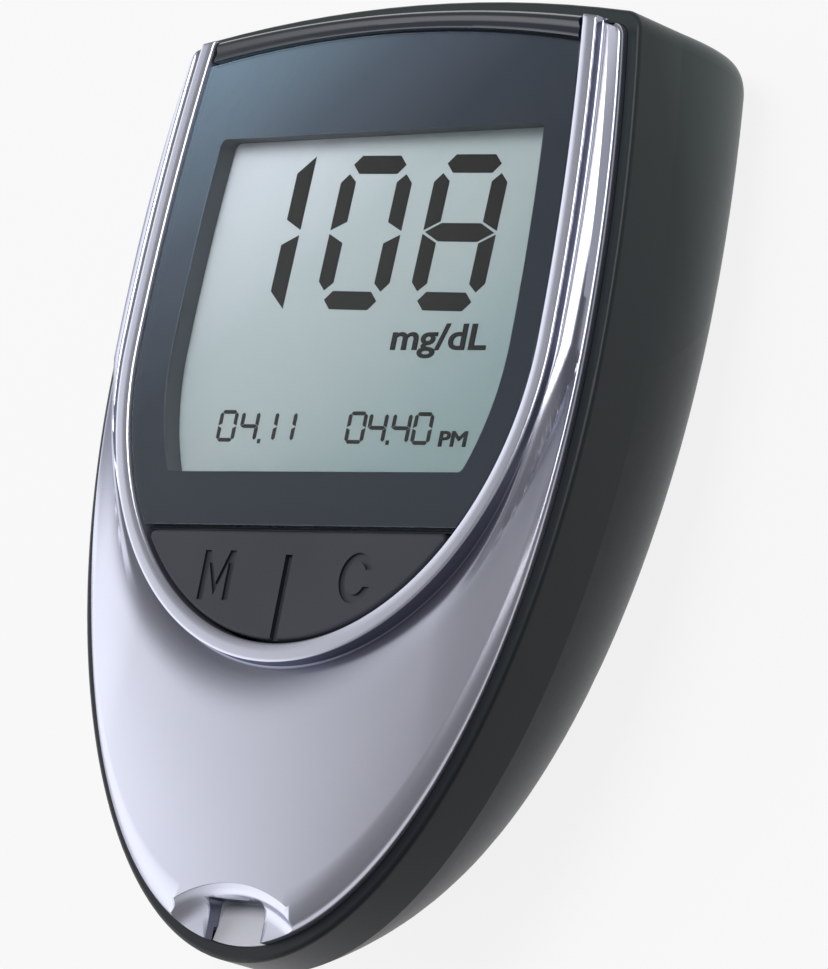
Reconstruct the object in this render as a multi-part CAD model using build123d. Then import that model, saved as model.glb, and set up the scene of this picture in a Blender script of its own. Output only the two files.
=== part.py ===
from build123d import *
import os
from math import cos, radians, sin, sqrt

# Blood glucose meter, lying on its back.
# Millimetres.  X is across the meter, Y runs from the test strip end to the display end,
# Z is the direction in which the display faces.  z = 0 is the flat of the back.

# ---------------------------------------------------------------- overall form
LENGTH = 88.6               # display end to test strip end
WIDTH = 64.6
THICKNESS = 20.0            # flat of the back to the face of the lens
WIDEST_Y = 10.7             # where the housing is widest
SIDE_R = 150.0              # bow of each side above the widest point
END_R = 185.0               # bow of the display end
CORNER_R = 2.4              # plan corner at the display end
SMALLEST_CORNER = 1.6
HALF_WIDTH = WIDTH / 2
TOP_Y = LENGTH / 2
TIP_Y = -LENGTH / 2
FACE_Z = THICKNESS

FIT_GAP = 0.05              # between pieces that are pushed or set together
LOOSE_GAP = 0.15            # round the lens and the top trim
KEY_GAP = 0.3               # round the moving key
EDGE_MARGIN = 4.0           # how far cutting shapes reach past the object
LEVEL = 0.01                # edges this near in height are level

# ---------------------------------------------------------------- rear housing
RIM_DEPTH = 2.1             # front rim below the face of the lens
RIM_WIDTH = 1.4             # dark rim left showing round the silver cover
RIM_ROUND = 0.4             # rounding of its outer edge
RIM_DROP = 1.0              # fall of the rim at the strip end
WALL = 2.2                  # side wall
FLOOR = 1.8                 # back wall
BELLY_Z = 12.4              # the sides are straight above this height
BELLY_SIDE = 7.8            # how far the rounded back draws in at the sides
BELLY_END = 3.0             # and at the display end
BELLY_TIP = 12.6            # and at the strip end, in a slope that rounds off
BELLY_RISE = 14.8           # how far the widest point moves up from there to the flat of the back
BELLY_CORNER = 3.0          # growth of the corners at the display end
BELLY_STEPS = 6             # steps in the rounded back
RIM_Z = FACE_Z - RIM_DEPTH

# ---------------------------------------------------------------- front opening
ARM_WIDTH = 5.9             # side of the meter to the opening for lens and key
CHIN_LENGTH = 28.3          # strip end to the bottom of the opening
OPENING_Y = 11.7            # widest point of the opening
OPENING_SIDE_R = 199.0      # bow of its sides above the widest point
OPENING_HALF = HALF_WIDTH - ARM_WIDTH
OPENING_LOW_Y = TIP_Y + CHIN_LENGTH
OPENING_DEPTH = OPENING_Y - OPENING_LOW_Y

# ---------------------------------------------------------------- silver cover
LIP_WIDTH = 1.8             # raised lip round the opening
LIP_PROUD = 0.25            # its height above the lens
LIP_ROUND = 0.4
LIP_END = 0.4               # it stops this far short of the cover's end
BEAD_DEPTH = 0.15           # top of the bead below the face of the lens
BEAD_ROUND = 1.25           # its roll down to the rim
CHIN_DROP = 0.9             # fall of the cover at the strip end
CREASE_WIDTH = 0.6          # groove between lip and bead
CREASE_DEPTH = 0.35
SKIRT = 1.2                 # wall that goes down inside the rim
LIP_Z = FACE_Z + LIP_PROUD
BEAD_Z = FACE_Z - BEAD_DEPTH
CREASE_Z = BEAD_Z - CREASE_DEPTH

# ---------------------------------------------------------------- lens and top trim
LENS = 1.0
LENS_ROUND = 0.15
LENS_END = 3.3              # display end of the meter to the top of the lens
LENS_TOP_R = 150.0
KEY_LENGTH = 10.6           # bottom of the opening to the foot of the lens
TRIM_ROUND = 0.7            # ridge of the top trim
TRIM_SKIRT = 5.0            # how far down the sides its skirt may run
MASK = 0.15                 # printed border behind the lens
TAPE = 0.2
TAPE_WIDTH = 1.4
TAPE_INSET = 0.2
WINDOW_SIDE = 4.0           # printed border beside the window
WINDOW_LOW = 5.3            # below it
WINDOW_HIGH = 9.2           # and above it
WINDOW_CORNER = 0.8
LENS_TOP_Y = TOP_Y - LENS_END
LENS_FOOT_Y = OPENING_LOW_Y + KEY_LENGTH
WINDOW_HALF = OPENING_HALF - WINDOW_SIDE
WINDOW_LOW_Y = LENS_FOOT_Y + WINDOW_LOW
WINDOW_HIGH_Y = LENS_TOP_Y - WINDOW_HIGH

# ---------------------------------------------------------------- front chassis
DECK = 1.8                  # plate that carries the lens
CHASSIS_SIDE = 2.25         # shoulder of the housing to the top of that plate
FLANGE = 0.5                # chassis flange on the shoulder
CHASSIS_WALL = 1.5
WINDOW_MARGIN = 0.2         # window in the plate beyond the printed one
DECK_Z = FACE_Z - LENS - MASK - TAPE
LEDGE_Z = DECK_Z - CHASSIS_SIDE

# ---------------------------------------------------------------- display
GLASS = 0.7                 # each of the two glass plates
GLASS_SIDE = 1.8            # glass beyond the window at the sides
GLASS_LOW = 2.6             # below it
GLASS_HIGH = 2.4            # and above it
CONTACT_LEDGE = 2.8         # overhang of the front glass over the contact strip
FILM = 0.18                 # polariser and reflector
FILM_MARGIN = 0.4
ZEBRA = 2.2                 # contact strip
ZEBRA_INSET = 2.0
HOLDER_WALL = 0.8
HOLDER_SHELF = 2.0
STACK = 4.72                # board to the top of the glass
GLASS_HALF = WINDOW_HALF + GLASS_SIDE
GLASS_LOW_Y = WINDOW_LOW_Y - GLASS_LOW
GLASS_HIGH_Y = WINDOW_HIGH_Y + GLASS_HIGH
GLASS_Z = DECK_Z - DECK - FIT_GAP - FILM

# ---------------------------------------------------------------- circuit board
BOARD = 1.0
BOARD_INSET = 4.0
BOARD_TIP = 9.6             # strip end of the meter to the board
DOME_SIDE = 14.9            # side of the opening to the middle of a dome
DOME_DROP = 5.1             # foot of the lens to the middle of a dome
DOME_R = 3.5
DOME_HEIGHT = 0.35
SHEET = 0.1
SHEET_MARGIN = 1.2
PROCESSOR_AT = (12.0, LENS_FOOT_Y + 1.1)
PROCESSOR_SIZE = (10.0, 10.0, 1.4)
PROCESSOR_LEGS = 8
ANALOG_AT = (0.0, TIP_Y + 24.0)
ANALOG_SIZE = (5.0, 4.0, 1.2)
ANALOG_LEGS = 4
CRYSTAL_AT = (-10.0, TIP_Y + 26.0)
CRYSTAL_SIZE = (6.0, 2.4, 2.0)
CRYSTAL_LEGS = 2
LEG_WIDTH = 0.4
LEG_REACH = 0.8
LEG = 0.3
SMALL_PART = (1.6, 0.8, 0.6)
SMALL_ROWS = 3
SMALL_COLUMNS = 4
SMALL_PITCH = (2.6, 2.2)
SMALL_AT = (10.3 - HALF_WIDTH, LENS_FOOT_Y - 1.3)
BEEPER_AT = (HALF_WIDTH - 14.3, LENS_FOOT_Y + 13.1)
BEEPER_R = 4.5
BEEPER_HEIGHT = 2.5
BOARD_TOP_Z = GLASS_Z - STACK
BOARD_Z = BOARD_TOP_Z - BOARD
BOARD_TIP_Y = TIP_Y + BOARD_TIP
DOME_X = OPENING_HALF - DOME_SIDE
DOME_Y = LENS_FOOT_Y - DOME_DROP

# ---------------------------------------------------------------- rocker key
KEY_CAP = 1.3
KEY_SKIRT = 1.0
KEY_SKIRT_HEIGHT = 0.9
KEY_ROUND = 0.35
KEY_CORNER = 0.6
KEY_RIB = 2.0
PIVOT_DEPTH = 2.6           # pivot below the face of the key
PIVOT_R = 0.7
POST_R = 1.4
KEY_TRAVEL = 0.4            # of a post, at the end of the rocking
POST_SPARE = 0.05
EAR = 1.2                   # bearing at each end of the rib
EAR_HALF = 1.6
EAR_TOP = 0.4
BAR = 1.6                   # bar that joins the ears
BAR_END = 1.0
GROOVE_WIDTH = 0.9
GROOVE_DEPTH = 0.45
GROOVE_TOP = 2.2            # top of the key to the start of the groove
LETTER_WIDTH = 4.2
LETTER_HEIGHT = 4.6
LETTER_STROKE = 0.8
LETTER_DEPTH = 0.25
LETTER_SIDE = 17.2          # side of the opening to the middle of a letter
LETTER_DROP = 4.2           # top of the key to the middle of a letter
KEY_TOP_Y = LENS_FOOT_Y - KEY_GAP
LETTER_X = OPENING_HALF - LETTER_SIDE
LETTER_Y = KEY_TOP_Y - LETTER_DROP
PIVOT_Z = FACE_Z - PIVOT_DEPTH

# ---------------------------------------------------------------- strip port
DISH_R = 16.7               # arc of the dish in the chin, in plan
DISH_LENGTH = 6.4           # strip end to the back of the dish
DISH_LEAN = 1.35            # how far its wall leans
DISH_DEPTH = 2.3            # its floor below the face of the lens
DISH_FLOOR = 1.2
DISH_WALL = 1.2
CHANNEL_HALF = 3.6          # groove that guides the strip
CHANNEL_LENGTH = 5.4
CHANNEL_DEPTH = 1.75        # below the dish floor, at the slot
SLOT_HEIGHT = 1.0
SLOT_SIDE = 0.3             # the slot is this much narrower on each side
GUIDE_LENGTH = 8.8
GUIDE_SIDE = 1.6
GUIDE_FLOOR = 1.35
SOCKET_HALF = 5.4
SOCKET_LENGTH = 10.2
SOCKET_HEIGHT = 5.5
SOCKET_BACK = 1.5           # wall behind the mouth
SOCKET_LINTEL = 1.5         # over the mouth, in front of the fingers
FINGER_COUNT = 4
FINGER_PITCH = 1.5
FINGER_WIDTH = 0.6
FINGER = 0.2
FINGER_TIP = 0.6            # rise of the tip
FINGER_LIFT = 0.55          # bend above the floor of the mouth
FINGER_TOP = 0.4            # below the top of the socket
FINGER_BENDS = (2.0, 3.5, 7.7)
FINGER_OUT = 0.7            # leg behind the socket
DISH_Z = FACE_Z - DISH_DEPTH
DISH_CENTRE_Y = TIP_Y + DISH_LENGTH - DISH_R
CHANNEL_BACK_Y = TIP_Y + CHANNEL_LENGTH
CHANNEL_BACK_Z = DISH_Z - CHANNEL_DEPTH
CHANNEL_FRONT_Z = RIM_Z - RIM_DROP
GUIDE_BACK_Y = TIP_Y + GUIDE_LENGTH
SOCKET_FRONT_Y = GUIDE_BACK_Y + BAR_END
SOCKET_BACK_Y = SOCKET_FRONT_Y + SOCKET_LENGTH
SOCKET_TOP_Z = BOARD_TOP_Z + SOCKET_HEIGHT

# ---------------------------------------------------------------- battery
CELL_R = 10.0
CELL_HEIGHT = 3.2
CELL_END = 25.0             # display end of the meter to the middle of the cell
CELL_CAP = 0.4              # height of the smaller face
CELL_SHOULDER = 1.2
CELL_ROUND = 0.3
CELL_CLEAR = 0.4
CELL_SEAT = 0.3             # cell above the door
BAY_WALL = 1.4
BAY_ROOF = 1.2
CONTACT = 0.25
CONTACT_WIDTH = 3.0
CONTACT_RISE = 0.6          # foot of the upright above the cell's face
CONTACT_FOOT = 1.6
LEAF_BACK = 2.0
LEAF_REACH = 6.0
DOOR = 1.5
DOOR_HALF = 13.0
DOOR_FOOT = 15.0            # middle of the cell to the foot of the door
DOOR_GAP = 0.1
TONGUE = 0.7
TONGUE_Z = 0.8
TONGUE_HEIGHT = 0.5
RAIL_WIDTH = 2.4
RAIL_Z = 3.0
GRIP_COUNT = 4
GRIP_START = 2.8
GRIP_PITCH = 1.8
GRIP_WIDTH = 0.8
GRIP_DEPTH = 0.3
GRIP_HALF = 7.0
CELL_Y = TOP_Y - CELL_END
CELL_Z = DOOR + CELL_SEAT
DOOR_FOOT_Y = CELL_Y - DOOR_FOOT

# ---------------------------------------------------------------- screws
SCREW_HIGH_SIDE = 12.3      # side of the meter to the upper screws
SCREW_TIP = 30.0            # strip end to the lower screws
SCREW_LOW_SIDE = 13.6       # side of the meter to the lower screws
SCREW_HEAD_R = 1.9
SCREW_HEAD = 1.2
SCREW_R = 1.0
SCREW_LENGTH = 9.5
SCREW_SEAT_Z = 5.0
HEAD_CHAMFER = 0.3
HOLE_SPARE = 0.5            # hole beyond the screw's end
BOSS_R = 2.9
BOSS_HEIGHT = 4.4           # boss of the housing above the screw's seat
CHASSIS_BOSS_R = 2.4
BOARD_SCREW_X = 13.0
BOARD_SCREW_TIP = 17.0      # strip end to the two lower board screws
BOARD_SCREW_END = 6.1       # display end to the upper one
BOARD_SCREW_R = 0.8
BOARD_SCREW_HEAD_R = 1.5
BOARD_SCREW_HEAD = 0.9
BOARD_SCREW_LENGTH = 4.6
STANDOFF_R = 1.9
RECESS_WIDTH = 0.45         # cross recess in a screw head
RECESS_SPAN = 1.2           # its length, as a share of the head's radius
BOSS_TOP_Z = SCREW_SEAT_Z + BOSS_HEIGHT
SCREW_HIGH_Y = GLASS_HIGH_Y + FIT_GAP + HOLDER_WALL + KEY_GAP + CHASSIS_BOSS_R
SCREW_HIGH = (HALF_WIDTH - SCREW_HIGH_SIDE, SCREW_HIGH_Y)
SCREW_LOW = (HALF_WIDTH - SCREW_LOW_SIDE, TIP_Y + SCREW_TIP)
BOARD_SCREWS = (
    (BOARD_SCREW_X, TIP_Y + BOARD_SCREW_TIP),
    (-BOARD_SCREW_X, TIP_Y + BOARD_SCREW_TIP),
    (0.0, TOP_Y - BOARD_SCREW_END),
)


# ---------------------------------------------------------------- plan outlines
def meet(centre_a, radius_a, centre_b, radius_b):
    """The upper right meeting point of two circles."""
    dx = centre_b[0] - centre_a[0]
    dy = centre_b[1] - centre_a[1]
    gap = sqrt(dx * dx + dy * dy)
    along = (radius_a ** 2 - radius_b ** 2 + gap * gap) / (2 * gap)
    across = sqrt(radius_a ** 2 - along ** 2)
    ux = dx / gap
    uy = dy / gap
    points = []
    for side in (1, -1):
        x = centre_a[0] + along * ux - side * across * uy
        y = centre_a[1] + along * uy + side * across * ux
        points.append((x, y))
    return max(points, key=lambda p: p[0] + p[1])


def bowed_side(half, low_y, radius, top):
    """The right side, bowed, from its widest point up to the point top."""
    centre_x = half - radius
    rise = (low_y + top[1]) / 2 - low_y
    middle = (centre_x + sqrt(radius ** 2 - rise ** 2), low_y + rise)
    return ThreePointArc((half, low_y), middle, top)


def outline(side=0.0, end=None, tip=None, corner=None, widest_y=WIDEST_Y):
    """Plan of the meter, drawn in by side, and by end and tip at its two ends."""
    end = side if end is None else end
    tip = side if tip is None else tip
    corner = max(CORNER_R - side, SMALLEST_CORNER) if corner is None else corner
    half = HALF_WIDTH - side
    side_r = SIDE_R - side
    end_r = END_R - end
    side_centre = (half - side_r, widest_y)
    end_centre = (0, TOP_Y - END_R)
    top = meet(side_centre, side_r, end_centre, end_r)
    foot = EllipticalCenterArc((0, widest_y), half, widest_y - TIP_Y - tip, 180, arc_size=180)
    right = bowed_side(half, widest_y, side_r, top)
    crown = ThreePointArc(top, (0, TOP_Y - end), (-top[0], top[1]))
    left = mirror(right, about=Plane.YZ)
    face = make_face(Curve() + [foot, right, crown, left])
    corners = face.vertices().sort_by(Axis.Y)[-2:]
    return fillet(corners, corner)


def opening(grow=0.0):
    """Plan of the front opening, made larger by grow, and open past the display end."""
    half = OPENING_HALF + grow
    side_r = OPENING_SIDE_R + grow
    centre_x = half - side_r
    top_y = TOP_Y + EDGE_MARGIN
    top_x = centre_x + sqrt(side_r ** 2 - (top_y - OPENING_Y) ** 2)
    foot = EllipticalCenterArc((0, OPENING_Y), half, OPENING_DEPTH + grow, 180, arc_size=180)
    right = bowed_side(half, OPENING_Y, side_r, (top_x, top_y))
    left = mirror(right, about=Plane.YZ)
    lid = Line((top_x, top_y), (-top_x, top_y))
    return make_face(Curve() + [foot, right, lid, left])


def rectangle(x0, y0, x1, y1):
    return Pos((x0 + x1) / 2, (y0 + y1) / 2) * Rectangle(x1 - x0, y1 - y0)


def above(y):
    return rectangle(-HALF_WIDTH - EDGE_MARGIN, y, HALF_WIDTH + EDGE_MARGIN, TOP_Y + 2 * EDGE_MARGIN)


def below(y):
    return rectangle(-HALF_WIDTH - EDGE_MARGIN, TIP_Y - EDGE_MARGIN, HALF_WIDTH + EDGE_MARGIN, y)


def under_lens_top(grow=0.0):
    return Pos(0, LENS_TOP_Y - LENS_TOP_R) * Circle(LENS_TOP_R + grow)


def inside_end(inset):
    """Everything that is inset or more from the bow of the display end."""
    return Pos(0, TOP_Y - END_R) * Circle(END_R - inset)


def slab(face, low, high):
    return extrude(Pos(0, 0, low) * face, high - low)


def block(x0, y0, z0, x1, y1, z1):
    return Pos((x0 + x1) / 2, (y0 + y1) / 2, (z0 + z1) / 2) * Box(x1 - x0, y1 - y0, z1 - z0)


def post(x, y, low, high, radius):
    return Pos(x, y, (low + high) / 2) * Cylinder(radius, high - low)


def under_line(height, drop):
    """Everything below a line that is level, and falls by drop from the widest point to the strip end."""
    far_y = TOP_Y + EDGE_MARGIN
    edges = [
        Line((WIDEST_Y, height), (far_y, height)),
        Line((far_y, height), (far_y, -EDGE_MARGIN)),
        Line((far_y, -EDGE_MARGIN), (TIP_Y, -EDGE_MARGIN)),
        Line((TIP_Y, -EDGE_MARGIN), (TIP_Y, height - drop)),
        TangentArc((WIDEST_Y, height), (TIP_Y, height - drop), tangent=(-1, 0)),
    ]
    face = Plane.YZ * make_face(Curve() + edges)
    return extrude(face, HALF_WIDTH + EDGE_MARGIN, both=True)


# ---------------------------------------------------------------- rear housing
def belly(wall, floor):
    """The rounded back, drawn in by wall and with its flat at floor."""
    sections = []
    for step in range(BELLY_STEPS + 1):
        turn = radians(90 * step / BELLY_STEPS)
        depth = sin(turn)
        draw = 1 - cos(turn)
        slope = (depth + draw) / 2
        height = floor + (BELLY_Z - floor) * (1 - depth)
        face = outline(
            wall + BELLY_SIDE * draw,
            wall + BELLY_END * draw ** 2,
            wall + BELLY_TIP * slope,
            max(CORNER_R - wall, SMALLEST_CORNER) + BELLY_CORNER * draw ** 2,
            WIDEST_Y + BELLY_RISE * slope,
        )
        sections.append(Pos(0, 0, height) * face)
    return loft(sections)


def top_edges(solid):
    """The edges round a level top face."""
    top = solid.bounding_box().max.Z
    return [e for e in solid.edges() if e.position_at(0.5).Z > top - LEVEL and e.position_at(0).Z > top - LEVEL]


def upper_edges(solid, lowest):
    """The edges round a solid's top faces, level and falling."""
    around = [e for e in solid.edges() if e.bounding_box().min.Z > lowest - LEVEL]
    return [e for e in around if len(e.vertices()) == 2 and not is_across(e)]


def is_across(edge):
    """True for a seam that runs straight across the meter."""
    box = edge.bounding_box()
    return box.size.Y < LEVEL and box.size.X > HALF_WIDTH


def housing_form():
    straight = slab(outline(), BELLY_Z, RIM_Z) & under_line(RIM_Z, RIM_DROP)
    straight = fillet(upper_edges(straight, RIM_Z - RIM_DROP), RIM_ROUND)
    return belly(0, 0) + straight


def screw_places():
    places = []
    for x, y in (SCREW_HIGH, SCREW_LOW):
        places.append((x, y))
        places.append((-x, y))
    return places


def door_space(grow):
    """The door with its side tongues, before it takes the housing's outer form."""
    half = DOOR_HALF + grow
    low_y = DOOR_FOOT_Y - grow
    top_y = TOP_Y + EDGE_MARGIN
    panel = block(-half, low_y, -EDGE_MARGIN, half, top_y, DOOR + grow)
    tongues = block(
        -half - TONGUE, low_y, TONGUE_Z - grow, half + TONGUE, top_y, TONGUE_Z + TONGUE_HEIGHT + grow
    )
    return panel + tongues


def make_rear_housing(form):
    hollow = belly(WALL, FLOOR) + slab(outline(WALL), BELLY_Z, RIM_Z + EDGE_MARGIN)
    seat = slab(outline(RIM_WIDTH - FIT_GAP), LEDGE_Z, RIM_Z + EDGE_MARGIN)
    shell = form - hollow - seat
    rail_half = DOOR_HALF + RAIL_WIDTH
    rails = block(-rail_half, DOOR_FOOT_Y - RAIL_WIDTH, 0, rail_half, TOP_Y, RAIL_Z) & form
    bay_r = CELL_R + CELL_CLEAR
    roof_z = CELL_Z + CELL_HEIGHT + CELL_CLEAR + CONTACT
    bay = post(0, CELL_Y, FLOOR, roof_z + BAY_ROOF, bay_r + BAY_WALL)
    bosses = [post(x, y, 0, BOSS_TOP_Z, BOSS_R) & form for x, y in screw_places()]
    shell = shell + rails + bay + bosses
    shell = shell - post(0, CELL_Y, -EDGE_MARGIN, roof_z, bay_r)
    shell = shell - door_space(DOOR_GAP)
    for x, y in screw_places():
        shell = shell - post(x, y, -EDGE_MARGIN, SCREW_SEAT_Z, SCREW_HEAD_R + LOOSE_GAP)
        shell = shell - post(x, y, 0, BOSS_TOP_Z + EDGE_MARGIN, SCREW_R + LOOSE_GAP)
    for contact in (make_contact_positive(LOOSE_GAP), make_contact_negative(LOOSE_GAP)):
        shell = shell - contact
    return shell


# ---------------------------------------------------------------- battery and door
def make_battery_door(form):
    door = door_space(0) & form
    first = DOOR_FOOT_Y + GRIP_START
    for step in range(GRIP_COUNT):
        y = first + step * GRIP_PITCH
        door = door - block(-GRIP_HALF, y, -EDGE_MARGIN, GRIP_HALF, y + GRIP_WIDTH, GRIP_DEPTH)
    return door


def make_coin_cell():
    shoulder_z = CELL_Z + CELL_HEIGHT - CELL_CAP
    can = post(0, CELL_Y, CELL_Z, shoulder_z, CELL_R)
    cap = post(0, CELL_Y, shoulder_z, CELL_Z + CELL_HEIGHT, CELL_R - CELL_SHOULDER)
    can = fillet(can.edges().sort_by(Axis.Z)[:1], CELL_ROUND)
    return can + cap


def make_contact_positive(grow=0.0):
    """Upright spring beside the cell, from its rim up to the board."""
    x1 = -CELL_R - FIT_GAP
    x0 = x1 - CONTACT
    low_y = CELL_Y - CONTACT_WIDTH / 2 - grow
    high_y = CELL_Y + CONTACT_WIDTH / 2 + grow
    upright = block(x0 - grow, low_y, CELL_Z + CONTACT_RISE - grow, x1 + grow, high_y, BOARD_Z)
    foot = block(x0 - CONTACT_FOOT - grow, low_y, BOARD_Z - CONTACT, x0 + grow, high_y, BOARD_Z)
    return upright + foot


def make_contact_negative(grow=0.0):
    """Leaf over the cell's face, with a leg up to the board."""
    low = CELL_Z + CELL_HEIGHT + FIT_GAP
    low_y = CELL_Y - CONTACT_WIDTH / 2 - grow
    high_y = CELL_Y + CONTACT_WIDTH / 2 + grow
    leaf = block(-LEAF_BACK - grow, low_y, low, LEAF_REACH + grow, high_y, low + CONTACT + grow)
    leg = block(LEAF_REACH - CONTACT - grow, low_y, low, LEAF_REACH + grow, high_y, BOARD_Z)
    return leaf + leg


# ---------------------------------------------------------------- front cover and trim
def make_front_cover():
    foot_z = LEDGE_Z + FLANGE
    floor_z = DISH_Z - DISH_FLOOR
    shell = slab(outline(RIM_WIDTH), floor_z, BEAD_Z) & under_line(BEAD_Z, CHIN_DROP)
    shell = fillet(upper_edges(shell, BEAD_Z - CHIN_DROP), BEAD_ROUND)
    hollow = outline(RIM_WIDTH + SKIRT) + opening(LIP_WIDTH)
    under_dish = Pos(0, DISH_CENTRE_Y) * Circle(DISH_R + DISH_WALL)
    shell = shell - slab(hollow - under_dish, floor_z - EDGE_MARGIN, DECK_Z)
    shell = shell - slab(outline() - under_dish, floor_z - EDGE_MARGIN, foot_z)
    shell = shell - slab(opening(), foot_z, BEAD_Z + EDGE_MARGIN)
    crease = opening(LIP_WIDTH + CREASE_WIDTH) - opening(LIP_WIDTH)
    shell = shell - slab(crease, CREASE_Z, BEAD_Z + EDGE_MARGIN)
    lip_plan = (opening(LIP_WIDTH) - opening()) & inside_end(RIM_WIDTH + LIP_END)
    lip = slab(lip_plan, DECK_Z, LIP_Z)
    lip = fillet(top_edges(lip), LIP_ROUND)
    shell = shell + lip
    dish_height = LIP_Z - DISH_Z
    dish = Pos(0, DISH_CENTRE_Y, DISH_Z + dish_height / 2) * Cone(
        DISH_R - DISH_LEAN * 2 / 3, DISH_R + DISH_LEAN / 3, dish_height
    )
    shell = shell - dish
    channel = block(
        -CHANNEL_HALF - FIT_GAP, TIP_Y - EDGE_MARGIN, floor_z - EDGE_MARGIN,
        CHANNEL_HALF + FIT_GAP, CHANNEL_BACK_Y, LIP_Z,
    )
    slot_half = CHANNEL_HALF - SLOT_SIDE
    slot = block(
        -slot_half, CHANNEL_BACK_Y - FIT_GAP, floor_z - EDGE_MARGIN,
        slot_half, GUIDE_BACK_Y, CHANNEL_BACK_Z + SLOT_HEIGHT,
    )
    return shell - channel - slot


def make_top_trim():
    band = outline(RIM_WIDTH) & opening(-LOOSE_GAP)
    cap = slab(band - under_lens_top(LOOSE_GAP), DECK_Z, LIP_Z)
    ridge = ShapeList(top_edges(cap)).sort_by(Axis.Y)[-1:]
    cap = fillet(ridge, TRIM_ROUND)
    skirt_band = band - outline(RIM_WIDTH + SKIRT)
    skirt = slab(skirt_band & above(LENS_TOP_Y - TRIM_SKIRT), LEDGE_Z + FLANGE, DECK_Z)
    return cap + skirt


# ---------------------------------------------------------------- lens
def lens_plan(gap):
    return opening(-gap) & under_lens_top(-gap) & above(LENS_FOOT_Y + gap)


def window_plan(margin):
    """The printed window, with sides that follow the opening, made larger by margin."""
    face = opening(margin - WINDOW_SIDE) & above(WINDOW_LOW_Y - margin) & below(WINDOW_HIGH_Y + margin)
    corners = face.vertices().sort_by(Axis.Y)
    return fillet(corners[:2] + corners[-2:], WINDOW_CORNER)


def make_display_lens():
    lens = slab(lens_plan(LOOSE_GAP), FACE_Z - LENS, FACE_Z)
    return fillet(top_edges(lens), LENS_ROUND)


def make_lens_mask():
    top = FACE_Z - LENS
    return slab(lens_plan(LOOSE_GAP) - window_plan(0), top - MASK, top)


def make_lens_adhesive():
    top = FACE_Z - LENS - MASK
    inset = LOOSE_GAP + TAPE_INSET
    frame = lens_plan(inset) - lens_plan(inset + TAPE_WIDTH)
    return slab(frame, top - TAPE, top)


# ---------------------------------------------------------------- chassis
def key_plan(gap):
    return opening(-gap) & below(LENS_FOOT_Y - gap)


def make_front_chassis():
    deck = slab(outline(RIM_WIDTH + SKIRT + FIT_GAP), LEDGE_Z, DECK_Z)
    flange = slab(outline(RIM_WIDTH), LEDGE_Z, LEDGE_Z + FLANGE)
    hollow = slab(outline(RIM_WIDTH + SKIRT + CHASSIS_WALL), LEDGE_Z - EDGE_MARGIN, DECK_Z - DECK)
    chassis = deck + flange - hollow
    through = window_plan(WINDOW_MARGIN) + key_plan(0)
    through = through + Pos(0, DISH_CENTRE_Y) * Circle(DISH_R + DISH_WALL + FIT_GAP)
    port_half = SOCKET_HALF + KEY_GAP
    port_back_y = SOCKET_BACK_Y + FINGER_OUT + FINGER + KEY_GAP
    through = through + rectangle(-port_half, TIP_Y - EDGE_MARGIN, port_half, port_back_y)
    chassis = chassis - slab(through, LEDGE_Z - EDGE_MARGIN, DECK_Z + EDGE_MARGIN)
    boss_foot = BOSS_TOP_Z + FIT_GAP
    under_deck = DECK_Z - DECK / 2
    screw_end = SCREW_SEAT_Z + SCREW_LENGTH + HOLE_SPARE
    for x, y in screw_places():
        chassis = chassis + post(x, y, boss_foot, under_deck, CHASSIS_BOSS_R)
        chassis = chassis - post(x, y, boss_foot - EDGE_MARGIN, screw_end, SCREW_R + FIT_GAP)
    screw_end = BOARD_Z + BOARD_SCREW_LENGTH + HOLE_SPARE
    for x, y in BOARD_SCREWS:
        chassis = chassis + post(x, y, BOARD_TOP_Z, under_deck, STANDOFF_R)
        chassis = chassis - post(x, y, BOARD_Z, screw_end, BOARD_SCREW_R + FIT_GAP)
    return chassis + make_key_bearings()


def key_rib_ends():
    """Where the key's rib starts and ends along Y."""
    low = OPENING_LOW_Y + KEY_GAP + KEY_SKIRT + EAR + KEY_GAP
    high = KEY_TOP_Y - KEY_SKIRT - EAR - KEY_GAP
    return low, high


def make_key_bearings():
    """A bar under the key's middle, with an ear and a bore at each end of the rib."""
    low, high = key_rib_ends()
    bar_low_y = OPENING_LOW_Y - BAR_END
    bar_high_y = LENS_FOOT_Y + BAR_END
    bar_top = PIVOT_Z - PIVOT_R - KEY_GAP
    bar = block(-EAR_HALF, bar_low_y, bar_top - BAR, EAR_HALF, bar_high_y, bar_top)
    ear_top = PIVOT_Z + PIVOT_R + EAR_TOP
    for y in (low - FIT_GAP - EAR, high + FIT_GAP):
        bar = bar + block(-EAR_HALF, y, bar_top, EAR_HALF, y + EAR, ear_top)
    for y in (bar_low_y, bar_high_y - BAR_END):
        bar = bar + block(-EAR_HALF, y, bar_top - BAR, EAR_HALF, y + BAR_END, DECK_Z - DECK / 2)
    bore_length = high - low + 2 * (EAR + 2 * FIT_GAP)
    bore = Rot(90, 0, 0) * Cylinder(PIVOT_R + FIT_GAP, bore_length)
    return bar - Pos(0, (low + high) / 2, PIVOT_Z) * bore


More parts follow.
